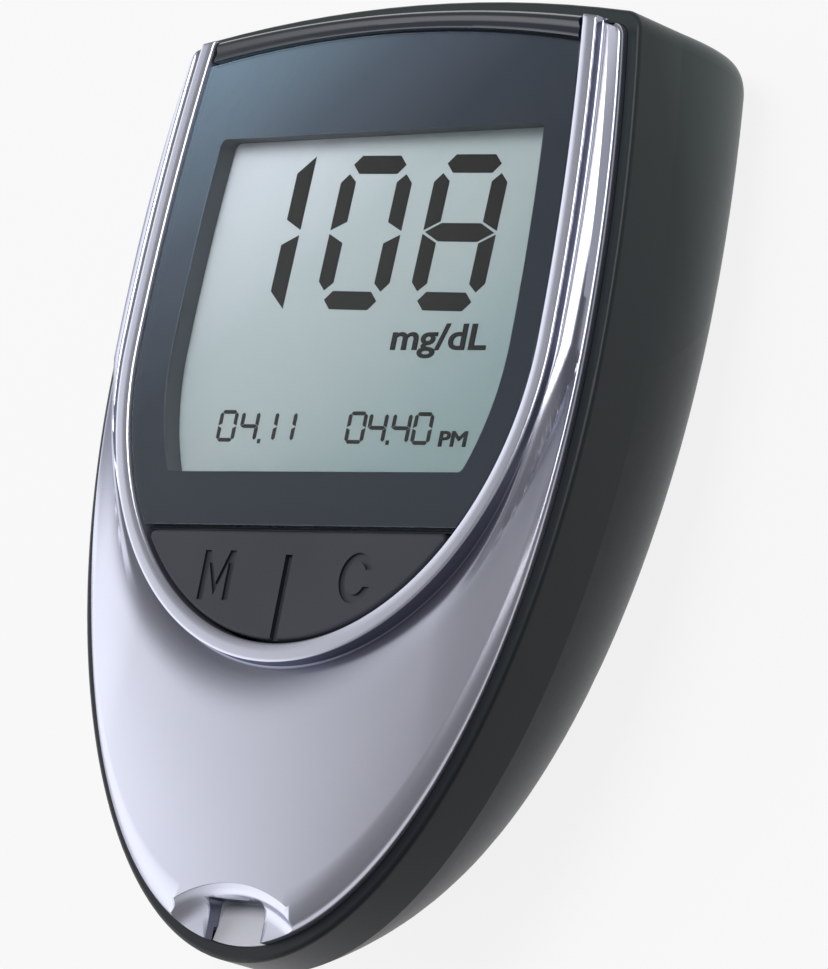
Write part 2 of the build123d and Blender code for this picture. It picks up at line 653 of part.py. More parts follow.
# ---------------------------------------------------------------- key
def make_rocker_key():
    under_cap = FACE_Z - KEY_CAP
    cap_plan = key_plan(KEY_GAP)
    cap_plan = fillet(cap_plan.vertices().sort_by(Axis.Y)[-2:], KEY_CORNER)
    key = slab(cap_plan, under_cap, FACE_Z)
    key = fillet(top_edges(key), KEY_ROUND)
    ring = cap_plan - key_plan(KEY_GAP + KEY_SKIRT)
    key = key + slab(ring, under_cap - KEY_SKIRT_HEIGHT, under_cap)
    low, high = key_rib_ends()
    key = key + block(-KEY_RIB / 2, low, PIVOT_Z - PIVOT_R, KEY_RIB / 2, high, under_cap)
    pivot = Rot(90, 0, 0) * Cylinder(PIVOT_R, high - low + 2 * (EAR - FIT_GAP))
    key = key + Pos(0, (low + high) / 2, PIVOT_Z) * pivot
    foot_z = BOARD_TOP_Z + DOME_HEIGHT + KEY_TRAVEL + POST_SPARE
    for x in (-DOME_X, DOME_X):
        key = key + post(x, DOME_Y, foot_z, under_cap, POST_R)
    groove = block(
        -GROOVE_WIDTH / 2, TIP_Y, FACE_Z - GROOVE_DEPTH,
        GROOVE_WIDTH / 2, KEY_TOP_Y - GROOVE_TOP, FACE_Z + EDGE_MARGIN,
    )
    key = key - groove
    for letter, x in ((letter_m(), -LETTER_X), (letter_c(), LETTER_X)):
        mark = Pos(x, LETTER_Y, FACE_Z - LETTER_DEPTH) * letter
        key = key - extrude(mark, LETTER_DEPTH + EDGE_MARGIN)
    return key


def letter_m():
    """Plain capital M, drawn round its middle."""
    half = LETTER_WIDTH / 2
    top = LETTER_HEIGHT / 2
    inner = half - LETTER_STROKE
    notch = top - LETTER_WIDTH
    shoulder = top - LETTER_STROKE * 1.4
    points = [
        (-half, -top), (-half, top), (-inner, top), (0, notch + LETTER_STROKE * 1.4),
        (inner, top), (half, top), (half, -top), (inner, -top),
        (inner, shoulder), (0, notch), (-inner, shoulder), (-inner, -top),
    ]
    return make_face(Polyline(*points, close=True))


def letter_c():
    """Plain capital C, drawn round its middle."""
    half = LETTER_WIDTH / 2
    top = LETTER_HEIGHT / 2
    ring = Ellipse(half, top) - Ellipse(half - LETTER_STROKE, top - LETTER_STROKE)
    mouth = rectangle(half / 3, -top / 3, half + LETTER_STROKE, top / 3)
    return ring - mouth


# ---------------------------------------------------------------- display stack
def glass_plan(margin=0.0, low_y=GLASS_LOW_Y):
    half = GLASS_HALF - margin
    return rectangle(-half, low_y + margin, half, GLASS_HIGH_Y - margin)


def make_lcd_polarizer():
    return slab(glass_plan(FILM_MARGIN), GLASS_Z, GLASS_Z + FILM)


def make_lcd_cell():
    """Two plates of glass; the front one is longer, with its contacts over the rubber strip."""
    middle = GLASS_Z - GLASS
    front = slab(glass_plan(), middle, GLASS_Z)
    back = slab(glass_plan(0, GLASS_LOW_Y + CONTACT_LEDGE), middle - GLASS, middle)
    return front + back


def make_lcd_reflector():
    top = GLASS_Z - 2 * GLASS
    return slab(glass_plan(FILM_MARGIN, GLASS_LOW_Y + CONTACT_LEDGE), top - FILM, top)


def zebra_plan(gap):
    half = GLASS_HALF - ZEBRA_INSET + gap
    low_y = GLASS_LOW_Y + FIT_GAP
    return rectangle(-half, low_y - gap, half, low_y + ZEBRA + gap)


def make_zebra_strip():
    return slab(zebra_plan(0), BOARD_TOP_Z, GLASS_Z - GLASS)


def make_lcd_holder():
    """Frame on the board: walls round the glass, and a shelf under it."""
    shelf_z = GLASS_Z - 2 * GLASS - FILM - FIT_GAP
    frame_plan = glass_plan(-FIT_GAP - HOLDER_WALL) - glass_plan(HOLDER_SHELF)
    frame = slab(frame_plan, BOARD_TOP_Z, GLASS_Z - FIT_GAP)
    frame = frame - slab(glass_plan(-FIT_GAP), shelf_z, GLASS_Z)
    return frame - slab(zebra_plan(FIT_GAP), BOARD_Z, GLASS_Z)


# ---------------------------------------------------------------- board and what it carries
def make_main_board():
    board = slab(outline(BOARD_INSET) & above(BOARD_TIP_Y), BOARD_Z, BOARD_TOP_Z)
    for x, y in screw_places():
        board = board - post(x, y, BOARD_Z, BOARD_TOP_Z, CHASSIS_BOSS_R + KEY_GAP)
    for x, y in BOARD_SCREWS:
        board = board - post(x, y, BOARD_Z, BOARD_TOP_Z, BOARD_SCREW_R + LOOSE_GAP)
    return board


def make_chip(place, size, legs):
    """A chip on the underside of the board, with a row of legs on each side."""
    x, y = place
    width, depth, height = size
    left = x - width / 2
    body = block(left, y - depth / 2, BOARD_Z - height, left + width, y + depth / 2, BOARD_Z)
    reach = depth / 2 + LEG_REACH
    for leg in range(legs):
        leg_x = left + width * (leg + 1) / (legs + 1) - LEG_WIDTH / 2
        body = body + block(leg_x, y - reach, BOARD_Z - LEG, leg_x + LEG_WIDTH, y + reach, BOARD_Z)
    return body


def make_board_components():
    """Chip resistors and capacitors on the underside of the board."""
    width, depth, height = SMALL_PART
    parts = []
    for row in range(SMALL_ROWS):
        for column in range(SMALL_COLUMNS):
            x = SMALL_AT[0] + column * SMALL_PITCH[0]
            y = SMALL_AT[1] + row * SMALL_PITCH[1]
            parts.append(block(x, y, BOARD_Z - height, x + width, y + depth, BOARD_Z))
    return parts


def make_beeper():
    x, y = BEEPER_AT
    return post(x, y, BOARD_Z - BEEPER_HEIGHT, BOARD_Z, BEEPER_R)


def make_key_domes():
    domes = []
    ball = (DOME_R ** 2 + DOME_HEIGHT ** 2) / (2 * DOME_HEIGHT)
    for x in (-DOME_X, DOME_X):
        top = BOARD_TOP_Z + DOME_HEIGHT
        cap = Pos(x, DOME_Y, top - ball) * Sphere(ball)
        domes.append(cap & post(x, DOME_Y, BOARD_TOP_Z, top, DOME_R + DOME_HEIGHT))
    return domes


def make_dome_sheet():
    half = DOME_X + DOME_R + SHEET_MARGIN
    reach = DOME_R + SHEET_MARGIN
    plan = rectangle(-half, DOME_Y - reach, half, DOME_Y + reach)
    for x in (-DOME_X, DOME_X):
        plan = plan - Pos(x, DOME_Y) * Circle(DOME_R + FIT_GAP)
    return slab(plan, BOARD_TOP_Z, BOARD_TOP_Z + SHEET)


# ---------------------------------------------------------------- strip port
def make_strip_guide():
    """Insert in the dish: a falling channel for the strip, then a slot."""
    half = CHANNEL_HALF + GUIDE_SIDE
    seat_z = LEDGE_Z + FIT_GAP
    pad = rectangle(-half, TIP_Y, half, GUIDE_BACK_Y) & outline(WALL + FIT_GAP)
    strip = rectangle(-CHANNEL_HALF, TIP_Y, CHANNEL_HALF, CHANNEL_BACK_Y - FIT_GAP)
    strip = strip & outline(RIM_WIDTH + FIT_GAP)
    body = slab(pad, CHANNEL_BACK_Z - GUIDE_FLOOR, seat_z) + slab(strip, seat_z, DISH_Z)
    ramp_y = TIP_Y + RIM_WIDTH
    air_z = DISH_Z + EDGE_MARGIN
    ramp = Polyline(
        (TIP_Y, CHANNEL_FRONT_Z), (ramp_y, CHANNEL_FRONT_Z), (CHANNEL_BACK_Y, CHANNEL_BACK_Z),
        (CHANNEL_BACK_Y, air_z), (TIP_Y, air_z), close=True,
    )
    body = body - extrude(Plane.YZ * make_face(ramp), CHANNEL_HALF, both=True)
    slot_half = CHANNEL_HALF - SLOT_SIDE
    return body - block(-slot_half, CHANNEL_BACK_Y, CHANNEL_BACK_Z, slot_half, GUIDE_BACK_Y, air_z)


def make_strip_connector():
    body = block(-SOCKET_HALF, SOCKET_FRONT_Y, BOARD_TOP_Z, SOCKET_HALF, SOCKET_BACK_Y, SOCKET_TOP_Z)
    mouth_half = CHANNEL_HALF - SLOT_SIDE
    body = body - block(
        -mouth_half, SOCKET_FRONT_Y, CHANNEL_BACK_Z,
        mouth_half, SOCKET_BACK_Y - SOCKET_BACK, CHANNEL_BACK_Z + SLOT_HEIGHT,
    )
    half = FINGER_WIDTH / 2 + FIT_GAP
    for x in finger_places():
        body = body - block(
            x - half, SOCKET_FRONT_Y + SOCKET_LINTEL, CHANNEL_BACK_Z + SLOT_HEIGHT / 2,
            x + half, SOCKET_BACK_Y, SOCKET_TOP_Z,
        )
    return body


def finger_places():
    start = -FINGER_PITCH * (FINGER_COUNT - 1) / 2
    return [start + FINGER_PITCH * step for step in range(FINGER_COUNT)]


def make_strip_contacts():
    """Spring fingers that press on the strip, each with a leg down to the board."""
    high = SOCKET_TOP_Z - FINGER_TOP
    low = CHANNEL_BACK_Z + FINGER_LIFT
    tip_y, bend_y, rise_y = (SOCKET_FRONT_Y + bend for bend in FINGER_BENDS)
    back_y = SOCKET_BACK_Y + FINGER_OUT
    under = [(tip_y, low + FINGER_TIP), (bend_y, low), (rise_y, high), (back_y, high), (back_y, BOARD_TOP_Z)]
    over = [(y, z + FINGER) for y, z in under[:3]]
    leg = [(back_y + FINGER, BOARD_TOP_Z), (back_y + FINGER, high + FINGER)]
    profile = Plane.YZ * make_face(Polyline(*under, *leg, *reversed(over), close=True))
    finger = extrude(profile, FINGER_WIDTH / 2, both=True)
    return [Pos(x, 0, 0) * finger for x in finger_places()]


# ---------------------------------------------------------------- screws
def make_screw(x, y, low, head_r, head, shank_r, length):
    """A screw that points up, with its cross recess below."""
    body = post(x, y, low - head, low, head_r)
    body = chamfer(body.edges().group_by(Axis.Z)[0], HEAD_CHAMFER)
    body = body + post(x, y, low, low + length, shank_r)
    for turn in (0, 90):
        arm = Rot(0, 0, turn) * Box(head_r * RECESS_SPAN, RECESS_WIDTH, head)
        body = body - Pos(x, y, low - head) * arm
    return body


def make_housing_screws():
    return [
        make_screw(x, y, SCREW_SEAT_Z, SCREW_HEAD_R, SCREW_HEAD, SCREW_R, SCREW_LENGTH)
        for x, y in screw_places()
    ]


def make_board_screws():
    return [
        make_screw(x, y, BOARD_Z, BOARD_SCREW_HEAD_R, BOARD_SCREW_HEAD, BOARD_SCREW_R, BOARD_SCREW_LENGTH)
        for x, y in BOARD_SCREWS
    ]


# ---------------------------------------------------------------- write one file per piece
def write(name, shape):
    solids = shape if isinstance(shape, list) else [shape]
    export_step(Compound(children=[s for part in solids for s in part.solids()]), f"parts/{name}.step")


def main():
    os.makedirs("parts", exist_ok=True)
    form = housing_form()
    pieces = {
        "rear_housing": make_rear_housing(form),
        "battery_door": make_battery_door(form),
        "coin_cell": make_coin_cell(),
        "battery_contact_positive": make_contact_positive(),
        "battery_contact_negative": make_contact_negative(),
        "front_cover": make_front_cover(),
        "top_trim": make_top_trim(),
        "display_lens": make_display_lens(),
        "lens_mask": make_lens_mask(),
        "lens_adhesive": make_lens_adhesive(),
        "front_chassis": make_front_chassis(),
        "rocker_key": make_rocker_key(),
        "lcd_polarizer": make_lcd_polarizer(),
        "lcd_cell": make_lcd_cell(),
        "lcd_reflector": make_lcd_reflector(),
        "zebra_strip": make_zebra_strip(),
        "lcd_holder": make_lcd_holder(),
        "main_board": make_main_board(),
        "processor_chip": make_chip(PROCESSOR_AT, PROCESSOR_SIZE, PROCESSOR_LEGS),
        "analog_chip": make_chip(ANALOG_AT, ANALOG_SIZE, ANALOG_LEGS),
        "clock_crystal": make_chip(CRYSTAL_AT, CRYSTAL_SIZE, CRYSTAL_LEGS),
        "board_components": make_board_components(),
        "beeper": make_beeper(),
        "key_domes": make_key_domes(),
        "dome_sheet": make_dome_sheet(),
        "strip_guide": make_strip_guide(),
        "strip_connector": make_strip_connector(),
        "strip_contacts": make_strip_contacts(),
        "housing_screws": make_housing_screws(),
        "board_screws": make_board_screws(),
    }
    for name, shape in pieces.items():
        write(name, shape)


main()
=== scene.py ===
# %% [markdown]
# # Dressing a blood glucose meter
# The solids of the meter come ready made, each in its own place: housing, cover, key, lens, board and so on.
# This lesson gives them their finish, and makes again, with finer forms, the pieces that the eye rests on:
# the silver cover with its soft valleys, the glossy brow above the lens, and what the display shows.

# %% Load the meter's solids
from math import atan2, cos, pi, radians, sin, sqrt
import bmesh
import bpy
from mathutils import Matrix, Vector


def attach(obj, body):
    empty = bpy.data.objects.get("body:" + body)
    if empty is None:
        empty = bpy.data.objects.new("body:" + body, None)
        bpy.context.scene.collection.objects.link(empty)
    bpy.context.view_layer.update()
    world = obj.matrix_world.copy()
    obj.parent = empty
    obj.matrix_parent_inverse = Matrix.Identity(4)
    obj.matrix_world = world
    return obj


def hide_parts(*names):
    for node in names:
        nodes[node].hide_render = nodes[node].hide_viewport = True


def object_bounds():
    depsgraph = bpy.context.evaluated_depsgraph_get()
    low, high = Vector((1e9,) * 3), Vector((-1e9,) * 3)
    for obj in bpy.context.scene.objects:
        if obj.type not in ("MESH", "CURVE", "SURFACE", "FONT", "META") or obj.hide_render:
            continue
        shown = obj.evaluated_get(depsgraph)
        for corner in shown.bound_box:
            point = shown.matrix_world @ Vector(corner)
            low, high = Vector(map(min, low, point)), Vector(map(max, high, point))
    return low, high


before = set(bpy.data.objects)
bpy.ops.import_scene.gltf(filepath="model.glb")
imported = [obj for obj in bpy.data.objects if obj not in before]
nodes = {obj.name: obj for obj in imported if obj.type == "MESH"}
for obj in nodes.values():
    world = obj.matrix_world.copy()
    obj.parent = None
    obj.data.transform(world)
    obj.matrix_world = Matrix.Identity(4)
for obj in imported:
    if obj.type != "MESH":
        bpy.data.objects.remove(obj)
cad_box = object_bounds()

# %% [markdown]
# ## Sizes
# The meter lies on its back: X runs across it, Y from the test strip end to the display end, and Z points
# out of the display. A maker thinks of such a thing in millimetres and Blender in metres, so every shape
# below is drawn in millimetres and made smaller once, when it becomes an object.
# The same few curves draw the whole front, so they are functions that every piece shares.

# %% Driving sizes, in millimetres
MM = 0.001
HALF_WIDTH = 32.3
TOP_Y = 44.3
TIP_Y = -44.3
WIDEST_Y = 10.7            # where the housing is widest
SIDE_R = 150.0             # bow of the sides
END_R = 185.0              # bow of the display end
RIM = 1.4                  # dark rim round the silver cover
COVER_CORNER = 1.6         # plan corner of the cover
OPENING_HALF = 26.4        # half width of the front opening
OPENING_Y = 11.7           # where the opening is widest
OPENING_DEPTH = 27.7       # from there to its lowest point
OPENING_R = 199.0          # bow of its sides
LENS_TOP_Y = 41.0
LENS_TOP_R = 150.0
DECK_Z = 18.65             # plate that carries lens and cover
LIP_Z = 20.25              # top of the raised lip
FOOT_Z = 16.9              # foot of the cover's skirt
CHIN_DROP = 0.9            # fall of the chin at the strip end
SIDE_DROP = 0.95           # fall of the chin towards its sides
CHIN_REACH = WIDEST_Y - TIP_Y
print("front", 2 * HALF_WIDTH, "x", TOP_Y - TIP_Y, "mm")


# %% [markdown]
# ## Helpers
# A piece is built as a bmesh, turned into a mesh, and then told three things: which body it rides on,
# which finish it wears, and which plain solid it stands for.
# Edges where two faces meet at a steep angle are marked sharp, so that soft forms shade softly and
# crisp edges stay crisp.

# %% From bmesh to piece
SHARP = radians(34)        # edges steeper than this stay crisp


def mark_sharp(bm):
    for edge in bm.edges:
        edge.smooth = len(edge.link_faces) == 2 and edge.calc_face_angle(0) < SHARP
    for face in bm.faces:
        face.smooth = True


def make_object(name, bm, scale=MM):
    bmesh.ops.scale(bm, vec=(scale, scale, scale), verts=bm.verts)
    mesh = bpy.data.meshes.new(name)
    bm.to_mesh(mesh)
    bm.free()
    piece = bpy.data.objects.new(name, mesh)
    bpy.context.scene.collection.objects.link(piece)
    return piece


def dress(piece, material, body="housing", stands_for=()):
    piece.data.materials.clear()
    piece.data.materials.append(material)
    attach(piece, body)
    if stands_for:
        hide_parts(*stands_for)
    print(piece.name, len(piece.data.polygons), "faces")


# %% [markdown]
# ## The curves of the front
# The outline is half an ellipse at the strip end, and a long arc up each side. The opening for lens and key
# has the same build, a little smaller. A station is a place along such a curve: an angle on the half
# ellipse, then a share of the way up the arm, then a share of the way round the arm's corner.

# %% Stations along the right half
FOOT_STATIONS = 96
ARM_STATIONS = 60
CORNER_STATIONS = 8


def stations():
    foot = [("foot", radians(-90 + 90 * step / FOOT_STATIONS)) for step in range(FOOT_STATIONS + 1)]
    arm = [("arm", step / ARM_STATIONS) for step in range(1, ARM_STATIONS + 1)]
    corner = [("corner", step / CORNER_STATIONS) for step in range(1, CORNER_STATIONS + 1)]
    return foot + arm + corner


print("stations on the right half:", len(stations()))

# %% [markdown]
# ### The corner of the cover
# The side is an arc, and the display end is a flatter one. The small arc that joins them has its centre
# inside both by its own radius, which is where two circles cross.

# %% Corner between side and display end
def end_y(x, inset):
    """Height in plan of the bowed display end, at x."""
    return TOP_Y - END_R + sqrt((END_R - inset) ** 2 - x * x)


def corner_centre(inset, radius):
    """Centre of the corner between the right side and the display end."""
    side = Vector((HALF_WIDTH - SIDE_R, WIDEST_Y))
    end = Vector((0, TOP_Y - END_R))
    side_r = SIDE_R - inset - radius
    end_r = END_R - inset - radius
    gap = end - side
    along = (gap.length_squared + side_r ** 2 - end_r ** 2) / (2 * gap.length)
    off = sqrt(side_r ** 2 - along ** 2)
    forward = gap.normalized()
    places = [side + forward * along + Vector((-forward.y, forward.x)) * off * turn for turn in (1, -1)]
    return max(places, key=lambda place: place.y)


CORNER_AT = corner_centre(RIM, COVER_CORNER)
CORNER_START = atan2(CORNER_AT.y - WIDEST_Y, CORNER_AT.x - HALF_WIDTH + SIDE_R)
CORNER_END = atan2(CORNER_AT.y - TOP_Y + END_R, CORNER_AT.x)
print("corner at", [round(part, 2) for part in CORNER_AT])

# %% [markdown]
# ### Outline and opening
# Both edges are read at the same station, so that a section can be laid from one to the other. An inset draws
# the outline in and a growth makes the opening larger, which gives every line between the two.

# %% Outline and opening
def outline_at(station, inset):
    """Point of the cover's outer edge, drawn in by inset."""
    kind, share = station
    side = RIM + inset
    if kind == "foot":
        return Vector(((HALF_WIDTH - side) * cos(share), WIDEST_Y + (CHIN_REACH - side) * sin(share)))
    if kind == "arm":
        turn = CORNER_START * share
        return Vector((HALF_WIDTH - SIDE_R, WIDEST_Y)) + (SIDE_R - side) * Vector((cos(turn), sin(turn)))
    turn = CORNER_START + (CORNER_END - CORNER_START) * share
    return CORNER_AT + (COVER_CORNER - inset) * Vector((cos(turn), sin(turn)))


def opening_at(station, grow):
    """Point of the opening's edge, made larger by grow."""
    kind, share = station
    half = OPENING_HALF + grow
    if kind == "foot":
        return Vector((half * cos(share), OPENING_Y + (OPENING_DEPTH + grow) * sin(share)))
    radius = OPENING_R + grow
    top_x = half - (TOP_Y - OPENING_Y) ** 2 / (2 * radius)
    top_y = end_y(top_x, RIM)
    low_y = top_y - COVER_CORNER
    if kind == "arm":
        y = OPENING_Y + (low_y - OPENING_Y) * share
    else:
        y = low_y + COVER_CORNER * sin(share * pi / 2)
    return Vector((half - radius + sqrt(radius ** 2 - (y - OPENING_Y) ** 2), y))


print("arm", round((outline_at(("arm", 0.5), 0) - opening_at(("arm", 0.5), 0)).length, 2), "mm wide")

# %% [markdown]
# ## Finishes
# Every finish is a Principled shader with a pattern of its own. Moulded plastic has a fine grain, which
# bump shows better than colour does. Lacquer over flakes has a faint sparkle and a slow drift of tone.
# The patterns read Object coordinates, so they stay in place when a piece moves.

# %% Finish builder
def new_finish(name):
    material = bpy.data.materials.new(name)
    material.use_nodes = True
    tree = material.node_tree
    shader = tree.nodes["Principled BSDF"]
    coords = tree.nodes.new("ShaderNodeTexCoord").outputs["Object"]
    return material, tree, shader, coords


def noise_node(tree, coords, scale, detail=3.0):
    noise = tree.nodes.new("ShaderNodeTexNoise")
    noise.inputs["Scale"].default_value = scale
    noise.inputs["Detail"].default_value = detail
    tree.links.new(coords, noise.inputs["Vector"])
    return noise


def ramp_node(tree, source, stops):
    ramp = tree.nodes.new("ShaderNodeValToRGB")
    ramp.color_ramp.elements[0].position = stops[0][0]
    ramp.color_ramp.elements[0].color = (*stops[0][1], 1)
    ramp.color_ramp.elements[1].position = stops[-1][0]
    ramp.color_ramp.elements[1].color = (*stops[-1][1], 1)
    for place, color in stops[1:-1]:
        ramp.color_ramp.elements.new(place).color = (*color, 1)
    tree.links.new(source, ramp.inputs["Fac"])
    return ramp


# %% [markdown]
# ### Patterns into sockets
# A pattern runs from 0 to 1. It is spread over the range that a socket needs, or drawn out as a slanted
# gradient across the whole meter, or read as a height by a Bump node.

# %% Spread, slant and bump
def spread(tree, source, low, high):
    """Maps a pattern from 0..1 to low..high."""
    node = tree.nodes.new("ShaderNodeMapRange")
    node.inputs["To Min"].default_value = low
    node.inputs["To Max"].default_value = high
    tree.links.new(source, node.inputs["Value"])
    return node.outputs["Result"]


def slant(tree, coords, direction, start, stop):
    """0..1 along a slanted direction; start and stop are in millimetres from the origin."""
    along = tree.nodes.new("ShaderNodeVectorMath")
    along.operation = "DOT_PRODUCT"
    along.inputs[1].default_value = Vector(direction).normalized()
    tree.links.new(coords, along.inputs[0])
    share = tree.nodes.new("ShaderNodeMapRange")
    share.inputs["From Min"].default_value = start * MM
    share.inputs["From Max"].default_value = stop * MM
    tree.links.new(along.outputs["Value"], share.inputs["Value"])
    return share.outputs["Result"]


def bump(tree, shader, source, strength, distance):
    node = tree.nodes.new("ShaderNodeBump")
    node.inputs["Strength"].default_value = strength
    node.inputs["Distance"].default_value = distance
    tree.links.new(source, node.inputs["Height"])
    tree.links.new(node.outputs["Normal"], shader.inputs["Normal"])


# %% [markdown]
# ### Moulded plastic
# Plastic takes the grain of its mould, which shows in the gloss and as a bump, and its tone drifts slowly.
# Most finishes of the meter are this one with other numbers.

# %% Moulded plastic
DRIFT_SCALE = 60.0         # patches of the slow drift, per metre
GLOSS_SPREAD = 0.15        # the grain moves the roughness by this share, up and down


def moulded(name, color, roughness, grain=2500.0, depth=0.000008, strength=0.35, drift=0.12, **sockets):
    """Moulded or coated surface: fine grain in form and gloss, and a slow drift of tone."""
    material, tree, shader, coords = new_finish(name)
    slow = noise_node(tree, coords, DRIFT_SCALE)
    dark = tuple(c * (1 - drift) for c in color)
    light = tuple(min(1.0, c * (1 + drift)) for c in color)
    ramp = ramp_node(tree, slow.outputs["Fac"], [(0.3, dark), (0.7, light)])
    tree.links.new(ramp.outputs["Color"], shader.inputs["Base Color"])
    fine = noise_node(tree, coords, grain, 2.0)
    low, high = roughness * (1 - GLOSS_SPREAD), min(1.0, roughness * (1 + GLOSS_SPREAD))
    tree.links.new(spread(tree, fine.outputs["Fac"], low, high), shader.inputs["Roughness"])
    bump(tree, shader, fine.outputs["Fac"], strength, depth)
    for socket, value in sockets.items():
        shader.inputs[socket.replace("_", " ")].default_value = value
    return material


# %% [markdown]
# ### Black and dark pieces
# The brow above the lens is polished black with a clear coat. The key is matt, so that a finger finds it. The
# chassis shows only as the wall of the window and is a plain satin moulding.

# %% Brow, key and chassis
gloss_black = moulded(
    "gloss_black", (0.024, 0.030, 0.043), 0.16, strength=0.04, Coat_Weight=0.6, Coat_Roughness=0.05
)
key_plastic = moulded(
    "key_plastic", (0.045, 0.048, 0.063), 0.5, grain=3000.0, strength=0.4, Specular_IOR_Level=0.3
)
chassis_plastic = moulded("chassis_plastic", (0.045, 0.058, 0.068), 0.5)
print("made", gloss_black.name, key_plastic.name, chassis_plastic.name)


# %% [markdown]
# ### Housing plastic
# The housing is moulded in satin charcoal with a touch of green. One slanted gradient paints light and shade
# on it:
# painted shade towards the strip end and the rim, and a painted reflection of the pale floor, lighter and
# greener, towards the display end and the back.

# %% Housing plastic
def housing_finish():
    material, tree, shader, coords = new_finish("housing_plastic")
    # Painted shade towards the strip end and the rim; painted reflection of the floor, lighter and greener,
    # towards the display end and the back.
    stops = [(0.0, (0.013, 0.016, 0.021)), (0.5, (0.029, 0.037, 0.041)), (0.72, (0.036, 0.047, 0.050))]
    stops += [(1.0, (0.10, 0.135, 0.128))]
    ramp = ramp_node(tree, slant(tree, coords, (0, 0.6, -1.6), -28, 9), stops)
    tree.links.new(ramp.outputs["Color"], shader.inputs["Base Color"])
    fine = noise_node(tree, coords, 2500.0, 2.0)
    tree.links.new(spread(tree, fine.outputs["Fac"], 0.34, 0.42), shader.inputs["Roughness"])
    bump(tree, shader, fine.outputs["Fac"], 0.2, 0.000006)
    shader.inputs["Specular IOR Level"].default_value = 0.25
    return material


housing_plastic = housing_finish()
print("made", housing_plastic.name)

# %% [markdown]
# ### Silver lacquer
# Aluminium flakes in a lavender binder. It is mostly metallic, with a little diffuse light from between the
# flakes. The flakes are far finer than any pixel, so the bump is only a breath. The valley number of the
# cover mixes in a painted shade, a dark blue-grey, beside the lip, in the port's groove and on the bead's
# back, and the tint keeps edges that turn away from going white. The strip guide in the port is a light
# plastic with a little of the same pigment.

# %% Silver lacquer
def silver_finish():
    material, tree, shader, coords = new_finish("silver_lacquer")
    slow = noise_node(tree, coords, 45.0)
    stops = [(0.3, (0.63, 0.64, 0.745)), (0.7, (0.66, 0.665, 0.765))]
    light = ramp_node(tree, slow.outputs["Fac"], stops)
    # Painted shade: the valley number mixes this dark blue-grey into the lacquer beside the lip, in the
    # groove and on the bead's back.
    valley = tree.nodes.new("ShaderNodeAttribute")
    valley.attribute_name = "valley"
    depth = spread(tree, valley.outputs["Fac"], 0.0, 0.80)
    mix = tree.nodes.new("ShaderNodeMixRGB")
    mix.inputs["Color2"].default_value = (0.12, 0.13, 0.19, 1)
    tree.links.new(light.outputs["Color"], mix.inputs["Color1"])
    tree.links.new(depth, mix.inputs["Fac"])
    tree.links.new(mix.outputs["Color"], shader.inputs["Base Color"])
    flakes = noise_node(tree, coords, 3000.0, 1.0)
    tree.links.new(spread(tree, flakes.outputs["Fac"], 0.235, 0.255), shader.inputs["Roughness"])
    bump(tree, shader, flakes.outputs["Fac"], 0.1, 0.0000004)
    shader.inputs["Metallic"].default_value = 0.88
    shader.inputs["Specular Tint"].default_value = (0.62, 0.63, 0.70, 1)
    return material


silver_lacquer = silver_finish()
guide_silver = moulded("guide_silver", (0.74, 0.75, 0.82), 0.4, strength=0.03, drift=0.02, Metallic=0.25)
print("made", silver_lacquer.name, guide_silver.name)


# %% [markdown]
# ### The print behind the lens
# The border round the window is printed on the back of the lens in a slate tone. A slanted gradient paints a
# reflection on it, lighter towards the upper left.

# %% Slate print with a painted reflection
def slate_print_and_painted_reflection():
    material, tree, shader, coords = new_finish("mask_print_and_painted_reflection")
    # Painted reflection: light blue-grey in the upper left, fading to the slate tone.
    stops = [(0.0, (0.42, 0.54, 0.65)), (0.4, (0.19, 0.225, 0.29)), (0.7, (0.105, 0.118, 0.15))]
    stops += [(1.0, (0.085, 0.094, 0.118))]
    ramp = ramp_node(tree, slant(tree, coords, (0.8, -1, 0), -46, -8), stops)
    tree.links.new(ramp.outputs["Color"], shader.inputs["Base Color"])
    slow = noise_node(tree, coords, 300.0, 1.0)
    tree.links.new(spread(tree, slow.outputs["Fac"], 0.5, 0.56), shader.inputs["Roughness"])
    shader.inputs["Specular IOR Level"].default_value = 0.1
    return material


mask_print_and_painted_reflection = slate_print_and_painted_reflection()
print("made", mask_print_and_painted_reflection.name)

# %% [markdown]
# ### The clear lens
# A hard-coated acrylic plate. It is a Principled shader with full transmission. Light that only passes
# through on its way to the display should not be stopped, so for shadow rays the plate is mixed with a
# Transparent shader; otherwise the display below would lie in a heavy shade. A dark specular tint stands for
# the thin coat that holds back the plate's own reflection, so that the digits below stay dark.

# %% Lens finish
def clear_finish():
    material, tree, shader, coords = new_finish("clear_lens")
    shader.inputs["Transmission Weight"].default_value = 1.0
    shader.inputs["IOR"].default_value = 1.49
    shader.inputs["Specular Tint"].default_value = (0.22, 0.24, 0.28, 1)
    shader.inputs["Roughness"].default_value = 0.0
    faint = noise_node(tree, coords, DRIFT_SCALE)
    tint = ramp_node(tree, faint.outputs["Fac"], [(0.3, (0.92, 0.95, 0.96)), (0.7, (0.95, 0.97, 0.98))])
    tree.links.new(tint.outputs["Color"], shader.inputs["Base Color"])
    path = tree.nodes.new("ShaderNodeLightPath")
    through = tree.nodes.new("ShaderNodeBsdfTransparent")
    through.inputs["Color"].default_value = (0.93, 0.96, 0.97, 1)
    mix = tree.nodes.new("ShaderNodeMixShader")
    tree.links.new(path.outputs["Is Shadow Ray"], mix.inputs["Fac"])
    tree.links.new(shader.outputs["BSDF"], mix.inputs[1])
    tree.links.new(through.outputs["BSDF"], mix.inputs[2])
    tree.links.new(mix.outputs["Shader"], tree.nodes["Material Output"].inputs["Surface"])
    return material


clear_lens = clear_finish()
print("made", clear_lens.name)
